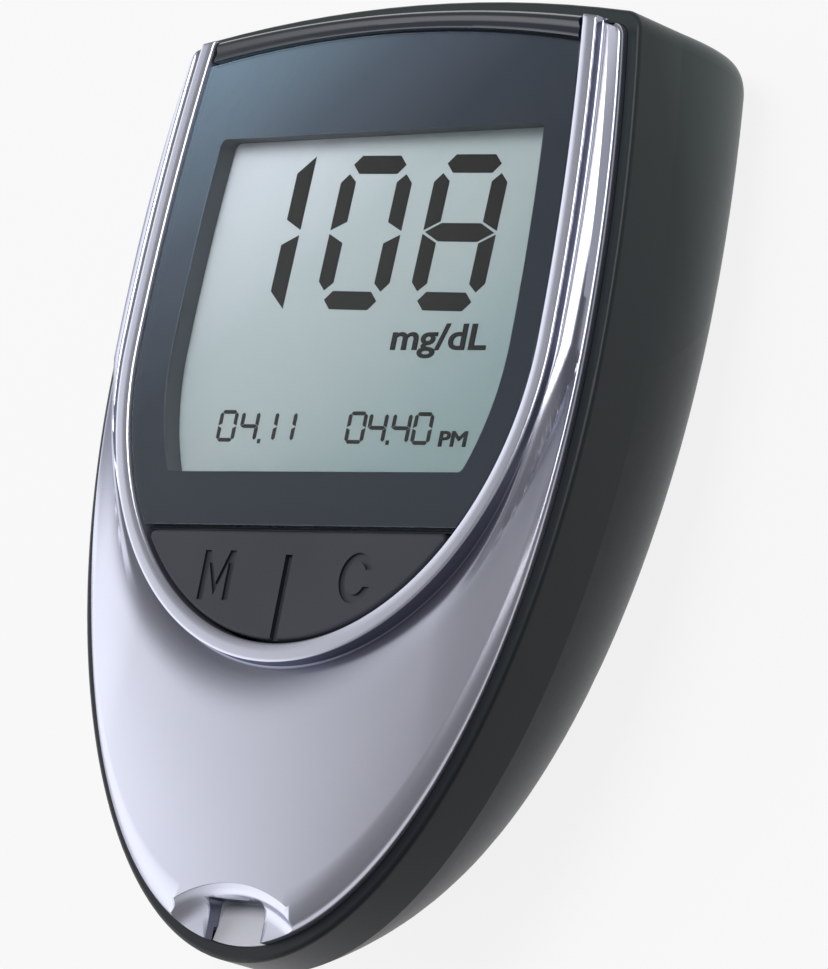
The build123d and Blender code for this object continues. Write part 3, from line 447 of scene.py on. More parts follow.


# %% [markdown]
# ### The display's field
# A reflective liquid crystal display is grey-green and a little silvery. A gradient along a slanted
# direction, read from Object coordinates, paints sheen and shade on it: a light cool grey in the upper left,
# where the light falls, and a darker green in the lower right. The segments and the words share one dark ink.

# %% Display finish
def display_finish():
    material, tree, shader, coords = new_finish("display_field")
    share = slant(tree, coords, (0.6, -0.8, 0), -38, 10)
    # Painted sheen and shade: light cool grey in the upper left, darker green in the lower right.
    stops = [(0.0, (0.72, 0.73, 0.78)), (0.36, (0.43, 0.475, 0.485)), (0.54, (0.385, 0.425, 0.425))]
    stops += [(0.85, (0.26, 0.325, 0.325)), (1.0, (0.24, 0.305, 0.305))]
    ramp = ramp_node(tree, share, stops)
    tree.links.new(ramp.outputs["Color"], shader.inputs["Base Color"])
    fine = noise_node(tree, coords, 5000.0, 1.0)
    bump(tree, shader, fine.outputs["Fac"], 0.08, 0.000004)
    shader.inputs["Roughness"].default_value = 0.38
    shader.inputs["Specular IOR Level"].default_value = 0.15
    return material


display_field = display_finish()
segment_ink = moulded(
    "segment_ink", (0.018, 0.016, 0.014), 0.6, strength=0.02, drift=0.03, Specular_IOR_Level=0.1
)
print("made", display_field.name, segment_ink.name)

# %% [markdown]
# ## The silver cover
# On the real meter this is one lacquered moulding, shaped like a U: two narrow arms beside the lens and a
# broad chin with the test strip port. It could be sculpted, or built from a subdivided cage. Here its section
# is extruded from station to station, because the section changes in a plain way: a raised lip runs round
# the opening, beside it lies a crease, then on the arms a narrow bead and on the chin a soft valley that
# rises to a broad, slightly crowned field, and all ends in a small rounded edge above the dark rim.
# These lines keep their shape all the way round. Each is a distance from an edge, with a drop from the lip's
# top, a rise from the crease, or a drop from the field's rim.

# %% Lines of lip, crease and edge
LIP_LINES = [(0.0, 0.32), (0.04, 0.17), (0.13, 0.06), (0.30, 0.0), (0.90, 0.0), (1.50, 0.0)]
LIP_LINES += [(1.66, 0.01), (1.75, 0.05), (1.79, 0.13), (1.80, 0.25)]
CREASE_ARM_Z = 19.42
CREASE_CHIN_Z = 19.25
CREASE_END = 2.15          # outer side of the crease, from the opening
CREASE_LINES = [(1.84, 0.22), (1.91, 0.05), (2.0, 0.0), (CREASE_END, 0.0)]
EDGE_LINES = [(0.30, 0.0), (0.18, 0.03), (0.09, 0.10), (0.03, 0.20), (0.0, 0.36)]
print("the lip stands", round(LIP_Z - CREASE_ARM_Z, 2), "mm above the crease of the arms")

# %% [markdown]
# ### Heights of the field
# The field lies between crease and edge, and w runs across it from 0 to 1. On the arms it carries a bead
# with a round back, then a step down to a flange. On the chin it rises from the valley in a cove to a
# crowned face and rolls down at its edge. The powers bow these lines.

# %% Heights across the field
FIELD_INSET = 0.45         # outer side of the field, from the cover's edge
ARM_FIELD = 2.9            # width of the field on the arms
RIDGE_Z = 19.98            # bead on the arms
RIDGE_AT = 0.24            # its place across the field
FLANK_END = 0.82           # where its back has come down to the flange
BACK_FALL = 0.55           # the bead's back falls evenly by this, then steps down
BACK_POWER = 1.25
STEP_POWER = 7
FLANGE_Z = 18.8
VALLEY_REACH = 5.2         # width of the valley beside the lip
VALLEY_RISE = 0.5
COVE_POWER = 2.6
CROWN = 0.08
ROLL_WIDTH = 1.5           # rounded edge of the chin
ROLL_DROP = 1.4


def smooth(t):
    t = min(max(t, 0.0), 1.0)
    return t * t * (3 - 2 * t)


def mixed(a, b, share):
    return a + (b - a) * share


def arm_height(w, width):
    """A bead close to the lip with a round back, then a step down to the flange."""
    w = min(w * width / ARM_FIELD, 1.0)
    if w < RIDGE_AT:
        return mixed(CREASE_ARM_Z, RIDGE_Z, sin(w / RIDGE_AT * pi / 2))
    if w < FLANK_END:
        back = (w - RIDGE_AT) / (FLANK_END - RIDGE_AT)
        step = RIDGE_Z - BACK_FALL - FLANGE_Z
        return RIDGE_Z - BACK_FALL * back ** BACK_POWER - step * back ** STEP_POWER
    return FLANGE_Z


def chin_roll(inset):
    """The chin's edge is a quarter of an ellipse; inset is measured from the end of the field."""
    t = max(0.0, 1 - (inset + FIELD_INSET) / ROLL_WIDTH)
    return ROLL_DROP * (1 - sqrt(1 - t * t))


def chin_height(w, width):
    crown = CROWN * sin(w * pi)
    cove = 1 - (1 - min(w * width / VALLEY_REACH, 1.0)) ** COVE_POWER
    return CREASE_CHIN_Z + VALLEY_RISE * cove + crown - chin_roll((1 - w) * width)


print("bead", round(RIDGE_Z - CREASE_ARM_Z, 2), "mm high; chin rises", VALLEY_RISE, "mm from its valley")

# %% [markdown]
# ### The underside
# A skirt goes down inside the housing's rim. From there a flat runs back to the opening and rests on the
# chassis. Under the port it lies lower, so that the dish has a thick floor.

# %% Underside
SKIRT = 1.2
UNDER_LINES = 12
DISH_CENTRE = Vector((0.0, -54.6))
DISH_R = 16.7              # arc of the port's dish, in plan
DISH_WALL = 1.2
DISH_Z = 17.7
PORT_FLOOR_Z = 16.5


def underside(station):
    points = [(*outline_at(station, 0.0), FOOT_Z), (*outline_at(station, SKIRT), FOOT_Z)]
    outer = outline_at(station, SKIRT)
    inner = opening_at(station, 0.0)
    for line in range(UNDER_LINES + 1):
        place = outer.lerp(inner, line / UNDER_LINES)
        under_port = (place - DISH_CENTRE).length < DISH_R + DISH_WALL
        points.append((*place, PORT_FLOOR_Z if under_port else DECK_Z))
    return points


print("underside of", len(underside(("arm", 0.5))), "points")

# %% [markdown]
# ### The whole section
# The lines follow one another from the foot of the opening over lip, crease, field and edge to the underside.
# The arm's share is 1 on the arms and 0 on the chin, and slides between them. At its end the arm rolls down.

# %% Section at a station
FIELD_LINES = 22
ARM_FULL_Y = 7.0           # above this the section is the arm's
CHIN_FULL_Y = -9.0         # below this it is the chin's
END_ROLL = 0.38            # the arm's end rolls down by this
END_POWER = 6


def arm_share_at(y):
    return smooth((y - CHIN_FULL_Y) / (ARM_FULL_Y - CHIN_FULL_Y))


def fall(place, arm_share):
    """The chin sinks towards the strip end and towards its sides."""
    lengthwise = CHIN_DROP * (max(WIDEST_Y - place.y, 0) / CHIN_REACH) ** 2
    return lengthwise + SIDE_DROP * (place.x / HALF_WIDTH) ** 2 * (1 - arm_share)


def section(station):
    """The cover's closed section at a station, as points in space."""
    arm_share = arm_share_at(opening_at(station, 0).y)
    crease_z = mixed(CREASE_CHIN_Z, CREASE_ARM_Z, arm_share)
    roll = END_ROLL * (1 - sqrt(1 - station[1] ** END_POWER)) if station[0] == "corner" else 0.0
    points = [(*opening_at(station, grow), LIP_Z - drop - roll) for grow, drop in LIP_LINES]
    for grow, rise in CREASE_LINES:
        place = opening_at(station, grow)
        points.append((*place, crease_z + rise - fall(place, arm_share) * (1 - arm_share) - roll))
    inner = opening_at(station, CREASE_END)
    outer = outline_at(station, FIELD_INSET)
    width = (outer - inner).length
    for line in range(1, FIELD_LINES + 1):
        even = line / FIELD_LINES
        w = (even + even * even) / 2       # lines lie closer together beside the crease
        place = inner.lerp(outer, w)
        z = mixed(chin_height(w, width), arm_height(w, width), arm_share)
        points.append((*place, z - fall(place, arm_share) - roll))
    for inset, drop in EDGE_LINES:
        place = outline_at(station, inset)
        chin_z = CREASE_CHIN_Z + VALLEY_RISE - chin_roll(inset - FIELD_INSET)
        points.append((*place, mixed(chin_z, FLANGE_Z - drop, arm_share) - fall(place, arm_share) - roll))
    return points + underside(station)


print("section of", len(section(("arm", 0.5))), "points")


# %% [markdown]
# ### Extruding the section
# A first chain of edges lies along the foot of the opening. It is extruded once for each further line of the
# section and moved to its place, so the operator makes every face. The last chain is joined to the first, the
# arm's end is closed, and a mirror gives the left half.

# %% Sweep helper
TINY = 0.001               # points closer than this are one, in millimetres


def swept_half(rows):
    """rows[line][station] are points; returns the right half, closed, mirrored to the whole."""
    bm = bmesh.new()
    first = [bm.verts.new(point) for point in rows[0]]
    chain = [bm.edges.new(pair) for pair in zip(first, first[1:])]
    verts = first
    for row in rows[1:]:
        made = bmesh.ops.extrude_edge_only(bm, edges=chain)["geom"]
        fresh = {item for item in made if isinstance(item, bmesh.types.BMVert)}
        lifted = []
        for old, point in zip(verts, row):
            vert = next(e.other_vert(old) for e in old.link_edges if e.other_vert(old) in fresh)
            vert.co = point
            lifted.append(vert)
        chain = [bm.edges.get(pair) for pair in zip(lifted, lifted[1:])]
        verts = lifted
    bmesh.ops.bridge_loops(bm, edges=chain + [bm.edges.get(pair) for pair in zip(first, first[1:])])
    rim = [e for e in bm.edges if e.is_boundary and min(v.co.x for v in e.verts) > TINY]
    bmesh.ops.contextual_create(bm, geom=rim)
    bmesh.ops.mirror(bm, geom=bm.verts[:] + bm.edges[:] + bm.faces[:], axis="X", merge_dist=TINY)
    bmesh.ops.recalc_face_normals(bm, faces=bm.faces)
    return bm


def rows_of(sections):
    return [list(row) for row in zip(*sections)]


cover_bm = swept_half(rows_of([section(station) for station in stations()]))
print("open edges left:", sum(1 for e in cover_bm.edges if not e.is_manifold))

# %% [markdown]
# ### The port
# The test strip goes in at a shallow dish with a groove in its middle. The dish is round about a point
# outside the meter, so its cutter is a spun profile: floor, a small cove, a leaning wall, and a flare that
# softens the edge. Each point of it is a radius and a height above the dish's floor.

# %% Cutter for the dish
DISH_PROFILE = [(0.0, 0.0), (14.6, 0.0), (15.1, 0.04), (15.5, 0.18), (15.8, 0.42), (16.0, 0.7), (16.15, 0.92)]
DISH_PROFILE += [(16.35, 1.06), (16.6, 1.15), (16.9, 1.2), (17.0, 1.23), (17.03, 3.3), (0.0, 3.3)]
DISH_STEPS = 360


def dish_cutter():
    bm = bmesh.new()
    verts = [bm.verts.new((r, DISH_CENTRE.y, DISH_Z + height)) for r, height in DISH_PROFILE]
    edges = [bm.edges.new(pair) for pair in zip(verts, verts[1:])]
    centre = (0.0, DISH_CENTRE.y, 0.0)
    bmesh.ops.spin(
        bm, geom=verts + edges, cent=centre, axis=(0, 0, 1), angle=2 * pi, steps=DISH_STEPS, use_merge=True
    )
    bmesh.ops.remove_doubles(bm, verts=bm.verts, dist=TINY)
    bmesh.ops.recalc_face_normals(bm, faces=bm.faces)
    return make_object("dish_cutter", bm)


print("dish profile of", len(DISH_PROFILE), "points")

# %% [markdown]
# ### The groove's cutter
# A block that reaches past the strip end. Its two inner corners are rounded in plan, as a moulded pocket is.

# %% Cutter for the groove
CHANNEL_HALF = 3.65
CHANNEL_BACK_Y = -38.9
CHANNEL_REACH = 12.0
CHANNEL_DEPTH = 8.0
CHANNEL_MIDDLE_Z = 19.0
CHANNEL_ROUND = 0.5


def channel_cutter():
    bm = bmesh.new()
    bmesh.ops.create_cube(bm, size=1.0)
    bmesh.ops.scale(bm, vec=(2 * CHANNEL_HALF, CHANNEL_REACH, CHANNEL_DEPTH), verts=bm.verts)
    middle = (0, CHANNEL_BACK_Y - CHANNEL_REACH / 2, CHANNEL_MIDDLE_Z)
    bmesh.ops.translate(bm, vec=middle, verts=bm.verts)
    posts = [e for e in bm.edges if abs(e.verts[0].co.z - e.verts[1].co.z) > 1]
    inner = [e for e in posts if e.verts[0].co.y > TIP_Y]
    bmesh.ops.bevel(
        bm, geom=inner, offset=CHANNEL_ROUND, segments=5, profile=0.5, affect="EDGES", material=-1
    )
    return make_object("channel_cutter", bm)


print("groove", 2 * CHANNEL_HALF, "mm wide")

# %% [markdown]
# ### Cutting
# A Boolean modifier takes the cutter away from the piece. Its result is kept as the mesh, and the cutter is
# thrown away. The exact solver leaves the cut piece closed, which the count of open edges below shows.

# %% Cut helper
def cut(piece, cutter):
    modifier = piece.modifiers.new("cut", "BOOLEAN")
    modifier.operation = "DIFFERENCE"
    modifier.solver = "EXACT"
    modifier.object = cutter
    view = bpy.context.evaluated_depsgraph_get()
    mesh = bpy.data.meshes.new_from_object(piece.evaluated_get(view))
    piece.modifiers.remove(modifier)
    piece.data = mesh
    bpy.data.objects.remove(cutter)


# %% [markdown]
# ### Painted shade in the valley
# The lacquer is painted darker beside the lip, in the port's groove and on the back of the bead, as shade
# that falls in these hollows and turns. Each vertex gets a number that says how much painted shade it takes,
# and the finish reads it.

# %% How much painted shade a point takes
# Painted shade: these numbers say where the lacquer is painted darker, and over what width the dark band
# fades.
LIP_FOOT = 1.79
CHIN_SHADE = 4.6           # the dark band fades over this width on the chin
ARM_SHADE = 1.3            # and over this on the arms
ARM_SHADE_SHARE = 0.75
BACK_SHADE_AT = 1.3         # the bead's back is toned from here
BACK_SHADE_WIDTH = 0.6
FADE_POWER = 1.6
GROOVE_SHADE_MARGIN = 0.1        # the groove's tone reaches past its walls by this
GROOVE_SHADE_HEIGHT = 0.9         # and up from the dish's floor by this


def beside_opening(point):
    """Distance of a point from the opening's edge, in plan; below the widest place it is nearly right."""
    across, along = abs(point.x), point.y - OPENING_Y
    if along > 0:
        return Vector((across - OPENING_HALF + OPENING_R, along)).length - OPENING_R
    reach = Vector((across, along)).length
    share = Vector((across / OPENING_HALF, along / OPENING_DEPTH)).length
    return reach * (1 - 1 / share)


def painted_shade_share(point):
    # Painted shade fills the port's groove.
    in_width = abs(point.x) < CHANNEL_HALF + GROOVE_SHADE_MARGIN
    in_length = point.y < CHANNEL_BACK_Y + GROOVE_SHADE_MARGIN
    if in_width and in_length and point.z < DISH_Z + GROOVE_SHADE_HEIGHT:
        return 1.0
    beside = beside_opening(point) - LIP_FOOT
    if beside < 0:
        return 0.0
    arm_share = arm_share_at(point.y)
    share = max(0.0, 1 - beside / mixed(CHIN_SHADE, ARM_SHADE, arm_share)) ** FADE_POWER
    bead_back = smooth((beside - BACK_SHADE_AT) / BACK_SHADE_WIDTH) * arm_share
    return max(share * mixed(1.0, ARM_SHADE_SHARE, arm_share), ARM_SHADE_SHARE * bead_back)


print("beside the lip:", round(painted_shade_share(Vector((0, -18.5, 19.3))), 2))

# %% [markdown]
# ### The finished cover
# The port is cut while the cover is still one even sweep, then doubled points are merged, crisp edges are
# marked, and every vertex gets its valley number, its share of painted shade.

# %% Cut the port and finish the cover
cover = make_object("silver_cover", cover_bm)
cut(cover, dish_cutter())
cut(cover, channel_cutter())
cover_bm = bmesh.new()
cover_bm.from_mesh(cover.data)
bmesh.ops.remove_doubles(cover_bm, verts=cover_bm.verts, dist=TINY * MM)
mark_sharp(cover_bm)
# The valley layer holds each vertex's share of painted shade.
shade = cover_bm.verts.layers.float.new("valley")
for vert in cover_bm.verts:
    vert[shade] = painted_shade_share(vert.co / MM)
cover_bm.to_mesh(cover.data)
print("cover open edges:", sum(1 for e in cover_bm.edges if not e.is_manifold))
cover_bm.free()
dress(cover, silver_lacquer, stands_for=["front_cover"])

# %% [markdown]
# ## The brow above the lens
# A glossy dark strip closes the top of the front between the two arms. Its section has two low ridges with a
# shallow groove between them, which is what draws the fine light lines along the top of the meter.
# It is swept like the cover, from the middle of the meter to the side of the opening. The outer points are
# an inset and a height, the top ones a share of the way to the lens and a height.

# %% Top trim
TRIM_STATIONS = 48
TRIM_GAP = 0.15
TRIM_OUTER = [(0.0, FOOT_Z), (0.0, 19.35), (0.05, 19.62), (0.16, 19.86), (0.34, 20.05), (0.55, 20.14)]
TRIM_TOP = [(0.0, 20.16), (0.12, 20.12), (0.28, 19.99), (0.42, 19.93), (0.58, 19.97), (0.72, 20.03)]
TRIM_TOP += [(0.88, 20.02), (0.96, 19.95), (1.0, 19.80)]
TRIM_RIDGE = 0.65          # first ridge, from the outer edge


def trim_end_x(y):
    radius = OPENING_R - TRIM_GAP
    return OPENING_HALF - TRIM_GAP - radius + sqrt(radius ** 2 - (y - OPENING_Y) ** 2)


def trim_section(share):
    x = share * trim_end_x(TOP_Y - RIM - TRIM_RIDGE)
    lens_r = LENS_TOP_R + TRIM_GAP
    inner = Vector((share * trim_end_x(LENS_TOP_Y), LENS_TOP_Y - LENS_TOP_R + sqrt(lens_r ** 2 - x * x)))
    points = [(x, end_y(x, RIM + inset), z) for inset, z in TRIM_OUTER]
    ridge = Vector((x, end_y(x, RIM + TRIM_RIDGE)))
    points += [(*ridge.lerp(inner, w), z) for w, z in TRIM_TOP]
    points.append((*inner, DECK_Z))
    points.append((x, end_y(x, RIM + SKIRT), DECK_Z))
    points.append((x, end_y(x, RIM + SKIRT), FOOT_Z))
    return points


trim_bm = swept_half(rows_of([trim_section(step / TRIM_STATIONS) for step in range(TRIM_STATIONS + 1)]))
mark_sharp(trim_bm)
dress(make_object("brow_trim", trim_bm), gloss_black, stands_for=["top_trim"])

# %% [markdown]
# ## What the display shows
# The digits are made of seven segments each, with pointed ends and thin gaps. One function draws a segment's
# outline for any size of digit, the fill operator makes its face, and an extrusion gives it the thickness
# of a print. The small date and time are the same digits, made smaller.

# %% Seven segments
INK_Z = 16.81              # just on the front film
INK = 0.03
SEGMENTS = {"0": "abcdef", "1": "bc", "4": "bcfg", "8": "abcdefg"}


TIP_MIDDLE = 0.13          # a tip's distance from the digit's side, in widths of an upright
TIP_OUTER = 0.62
FLAT_END = 1.1
SLOPE = 0.48               # a slanted end's fall, in strokes
SEAM = 0.1                 # half the gap in the middle
NOTCH = 0.58
SHOULDER = 0.43


def bar(half, height, stroke, wide, level, middle):
    """Outline of a level segment."""
    tip = half - (TIP_MIDDLE if middle else TIP_OUTER) * wide
    flat = half - FLAT_END * wide
    y = level * (height - stroke / 2)
    low, high = y - stroke / 2, y + stroke / 2
    return [(tip, y), (flat, high), (-flat, high), (-tip, y), (-flat, low), (flat, low)]


def upright(half, height, stroke, wide, join, side, up):
    """Outline of an upright segment; join is how far it stays below the bar."""
    points = [
        (half - SLOPE * wide, height - join * stroke),
        (half, height - (join + SLOPE) * stroke),
        (half, SEAM * stroke),
        (half - wide, NOTCH * stroke),
        (half - wide, height - (join + SHOULDER) * stroke),
    ]
    return [(side * x, up * y) for x, y in points]


def digit_outlines(digit, half, height, stroke, wide, join):
    bars = {"a": (1, False), "g": (0, True), "d": (-1, False)}
    uprights = {"b": (1, 1), "c": (1, -1), "f": (-1, 1), "e": (-1, -1)}
    shapes = {name: bar(half, height, stroke, wide, *how) for name, how in bars.items()}
    shapes |= {name: upright(half, height, stroke, wide, join, *how) for name, how in uprights.items()}
    return [shapes[name] for name in SEGMENTS[digit]]


print("eight has", len(digit_outlines("8", 4.0, 7.0, 1.0, 1.0, 1.0)), "segments")

# %% [markdown]
# ### A leading one, and printing
# The leading 1 of a big reading is drawn in one straight stroke, parted in the middle. Printing fills an
# outline, turns it, moves it to its centre and raises it by the thickness of the ink.

# %% Leading one, and print
FIRST_WIDE = 2.15
FIRST_POINTED = 1.63       # the stroke's upper end is cut this steep
FIRST_NOTCH = 1.2
FIRST_SEAM = 0.25


def first_digit(half, height):
    inner = half - FIRST_WIDE
    upper = [(half, height), (inner, height - FIRST_POINTED), (inner, FIRST_NOTCH), (half, FIRST_SEAM)]
    return [upper, [(x, -y) for x, y in upper]]


def print_outlines(bm, outlines, centre, turn):
    """Fills each outline, turned by turn and moved to centre."""
    place = Matrix.Translation((*centre, INK_Z)) @ Matrix.Rotation(turn, 4, "Z")
    for outline in outlines:
        verts = [bm.verts.new(place @ Vector((x, y, 0))) for x, y in outline]
        face = bmesh.ops.contextual_create(bm, geom=verts)["faces"]
        raised = bmesh.ops.extrude_face_region(bm, geom=face)["geom"]
        moved = [item for item in raised if isinstance(item, bmesh.types.BMVert)]
        bmesh.ops.translate(bm, vec=(0, 0, INK), verts=moved)


# %% [markdown]
# ### Reading, date and time
# The clear plate above bends the line of sight, so what lies below it looks moved by about half a millimetre.
# The places below are the ones that the eye sees, and one shift carries them all to the film.

# %% Digits
BIG = (4.75, 7.26, 1.72, 2.0, 1.02)        # half width, half height, strokes of bar and upright, join
SMALL = (1.24, 1.50, 0.36, 0.46, 0.62)
BENT = Vector((0.53, -0.13))
BIG_TURN = radians(-2.0)
SMALL_TURN = radians(-0.7)
BIG_PLACES = {"1": (-15.65, 23.4), "0": (-2.05, 23.0), "8": (10.35, 22.68)}
SMALL_Y = 4.72
SMALL_FALL = 0.012         # the small line runs down to the right by this
SMALL_PLACES = [("0", -15.5), ("4", -12.5), ("1", -9.95), ("1", -7.45)]
SMALL_PLACES += [("0", 1.9), ("4", 4.65), ("4", 7.75), ("0", 10.55)]
POINTS = [(-10.8, 3.45), (6.35, 3.3)]
POINT_HALF = 0.2


def reading():
    bm = bmesh.new()
    for digit, place in BIG_PLACES.items():
        outlines = first_digit(*BIG[:2]) if digit == "1" else digit_outlines(digit, *BIG)
        print_outlines(bm, outlines, Vector(place) + BENT, BIG_TURN)
    bmesh.ops.recalc_face_normals(bm, faces=bm.faces)
    return make_object("reading_digits", bm)


def date_and_time():
    bm = bmesh.new()
    for digit, x in SMALL_PLACES:
        centre = Vector((x, SMALL_Y - SMALL_FALL * x)) + BENT
        print_outlines(bm, digit_outlines(digit, *SMALL), centre, SMALL_TURN)
    square = [(POINT_HALF * x, POINT_HALF * y) for x, y in ((1, 1), (-1, 1), (-1, -1), (1, -1))]
    for x, y in POINTS:
        print_outlines(bm, [square], Vector((x, y)) + BENT, SMALL_TURN)
    bmesh.ops.recalc_face_normals(bm, faces=bm.faces)
    return make_object("date_and_time_digits", bm)


dress(reading(), segment_ink)
dress(date_and_time(), segment_ink)


# %% [markdown]
# ### Words
# The unit and the half of the day are Blender text. A text object is turned into a mesh before it is placed,
# and made a little heavier with a bevel, because the built-in letters are thin.

# %% Unit and half of the day
WORD_STRETCH = 1.5         # the letters are this much wider than the built-in ones


def word(name, body, height, left, baseline, weight):
    curve = bpy.data.curves.new(name, "FONT")
    curve.body = body
    curve.bevel_depth = weight
    curve.bevel_resolution = 1
    curve.extrude = INK / 2 / height
    curve.resolution_u = 4
    text = bpy.data.objects.new(name, curve)
    bpy.context.scene.collection.objects.link(text)
    view = bpy.context.evaluated_depsgraph_get()
    mesh = bpy.data.meshes.new_from_object(text.evaluated_get(view))
    bpy.data.objects.remove(text)
    piece = bpy.data.objects.new(name, mesh)
    bpy.context.scene.collection.objects.link(piece)
    low = min(v.co.x for v in mesh.vertices)
    place = Matrix.Translation((left + BENT.x, baseline + BENT.y, INK_Z + INK / 2))
    turn = Matrix.Rotation(SMALL_TURN, 4, "Z")
    size = Matrix.Diagonal((height * WORD_STRETCH, height, height, 1))
    mesh.transform(Matrix.Scale(MM, 4) @ place @ turn @ size @ Matrix.Translation((-low, 0, 0)))
    span = [max(v.co[i] for v in mesh.vertices) - min(v.co[i] for v in mesh.vertices) for i in (0, 1)]
    print(name, "measures", [round(s / MM, 2) for s in span], "mm")
    return piece


dress(word("unit_text", "mg/dL", 3.35, 4.3, 11.95, 0.020), segment_ink)
dress(word("half_day_text", "PM", 1.95, 12.95, 3.0, 0.028), segment_ink)


# %% [markdown]
# ## The pieces inside and behind
# Most solids keep their own shape and only need a finish. A dictionary pairs each node with one. Metal parts
# are rolled or plated, the board has a woven laminate under a green resist, and the contact strip is
# rubber with fine dark layers, so these get patterns of their own.

# %% Metals and laminates
STREAKS = 900.0            # per metre
WAVE_BANDS = 3.0           # of a wave pattern at scale 1, per metre


def metal(name, color, roughness, stretch=(1.0, 1.0, 1.0)):
    """Rolled or plated metal: streaks along the direction with the least stretch."""
    material, tree, shader, coords = new_finish(name)
    place = tree.nodes.new("ShaderNodeMapping")
    place.inputs["Scale"].default_value = stretch
    tree.links.new(coords, place.inputs["Vector"])
    streaks = noise_node(tree, place.outputs["Vector"], STREAKS)
    dark = tuple(c * 0.85 for c in color)
    ramp = ramp_node(tree, streaks.outputs["Fac"], [(0.35, dark), (0.65, color)])
    tree.links.new(ramp.outputs["Color"], shader.inputs["Base Color"])
    rough = spread(tree, streaks.outputs["Fac"], roughness * 0.7, roughness * 1.3)
    tree.links.new(rough, shader.inputs["Roughness"])
    bump(tree, shader, streaks.outputs["Fac"], 0.12, 0.000005)
    shader.inputs["Metallic"].default_value = 1.0
    return material


def striped(name, dark, light, pitch, roughness):
    """Fine even stripes across X, as in layered rubber or woven laminate."""
    material, tree, shader, coords = new_finish(name)
    wave = tree.nodes.new("ShaderNodeTexWave")
    wave.bands_direction = "X"
    wave.inputs["Scale"].default_value = 1 / pitch / WAVE_BANDS
    wave.inputs["Distortion"].default_value = 0.3
    tree.links.new(coords, wave.inputs["Vector"])
    ramp = ramp_node(tree, wave.outputs["Fac"], [(0.4, dark), (0.6, light)])
    tree.links.new(ramp.outputs["Color"], shader.inputs["Base Color"])
    bump(tree, shader, wave.outputs["Fac"], 0.15, 0.00001)
    shader.inputs["Roughness"].default_value = roughness
    return material


# %% [markdown]
# ### Finishes of the small pieces
# Each is made with one of the helpers and named after what the piece is made of.

# %% Small pieces
steel = metal("cell_steel", (0.62, 0.62, 0.63), 0.25)
nickel = metal("nickel_strip", (0.66, 0.64, 0.58), 0.28, (1.0, 0.1, 1.0))
gold = metal("gold_plate", (0.83, 0.62, 0.25), 0.22, (1.0, 0.1, 1.0))
zinc = metal("zinc_screw", (0.45, 0.45, 0.46), 0.35)
foil = metal("reflector_foil", (0.70, 0.72, 0.72), 0.4)
laminate = striped("board_laminate", (0.015, 0.10, 0.045), (0.02, 0.14, 0.06), 0.0012, 0.35)
rubber = striped("contact_rubber", (0.03, 0.03, 0.035), (0.35, 0.30, 0.26), 0.0004, 0.7)
epoxy = moulded("chip_epoxy", (0.02, 0.02, 0.022), 0.55)
ceramic = moulded("chip_ceramic", (0.35, 0.26, 0.17), 0.45)
black_tape = moulded("black_tape", (0.015, 0.015, 0.016), 0.8)
milky_film = moulded("dome_film", (0.55, 0.55, 0.5), 0.3, strength=0.05)
socket_plastic = moulded("socket_plastic", (0.03, 0.03, 0.034), 0.5)
holder_plastic = moulded("holder_plastic", (0.62, 0.62, 0.6), 0.5)
glass_edge = moulded("display_glass", (0.40, 0.47, 0.45), 0.12, strength=0.02)
print("made", steel.name, nickel.name, gold.name, laminate.name, "and others")

# %% [markdown]
# ### A finish for every node
# The nodes keep their meshes and only get a material, also the two that the cover and the brow stand for.

# %% A finish for every node
FINISHES = {
    "rear_housing": housing_plastic, "battery_door": housing_plastic, "front_cover": silver_lacquer,
    "top_trim": gloss_black, "display_lens": clear_lens, "lens_mask": mask_print_and_painted_reflection, "lens_adhesive": black_tape,
    "front_chassis": chassis_plastic, "rocker_key": key_plastic, "lcd_polarizer": display_field,
    "lcd_cell": glass_edge, "lcd_reflector": foil, "zebra_strip": rubber, "lcd_holder": holder_plastic,
    "main_board": laminate, "processor_chip": epoxy, "analog_chip": epoxy, "clock_crystal": steel,
    "board_components": ceramic, "beeper": epoxy, "key_domes": nickel, "dome_sheet": milky_film,
    "strip_guide": guide_silver, "strip_connector": socket_plastic, "strip_contacts": gold,
    "coin_cell": steel, "battery_contact_positive": nickel, "battery_contact_negative": nickel,
    "housing_screws": zinc, "board_screws": zinc,
}
for name, node in nodes.items():
    node.data.materials.clear()
    node.data.materials.append(FINISHES[name])
print("nodes with a finish:", len(nodes))

# %% [markdown]
# ## Floor
# A plain pale floor. Its diffuse part takes the meter's soft shadow, and a glow that only camera, mirror and
# glass rays see lifts it to white, so that it throws no extra light on the meter.

# %% Floor
FLOOR_GLOW = 0.86
FLOOR_HALF = 4.0
FLOOR_GAP = 0.00005        # keeps the floor just below the back


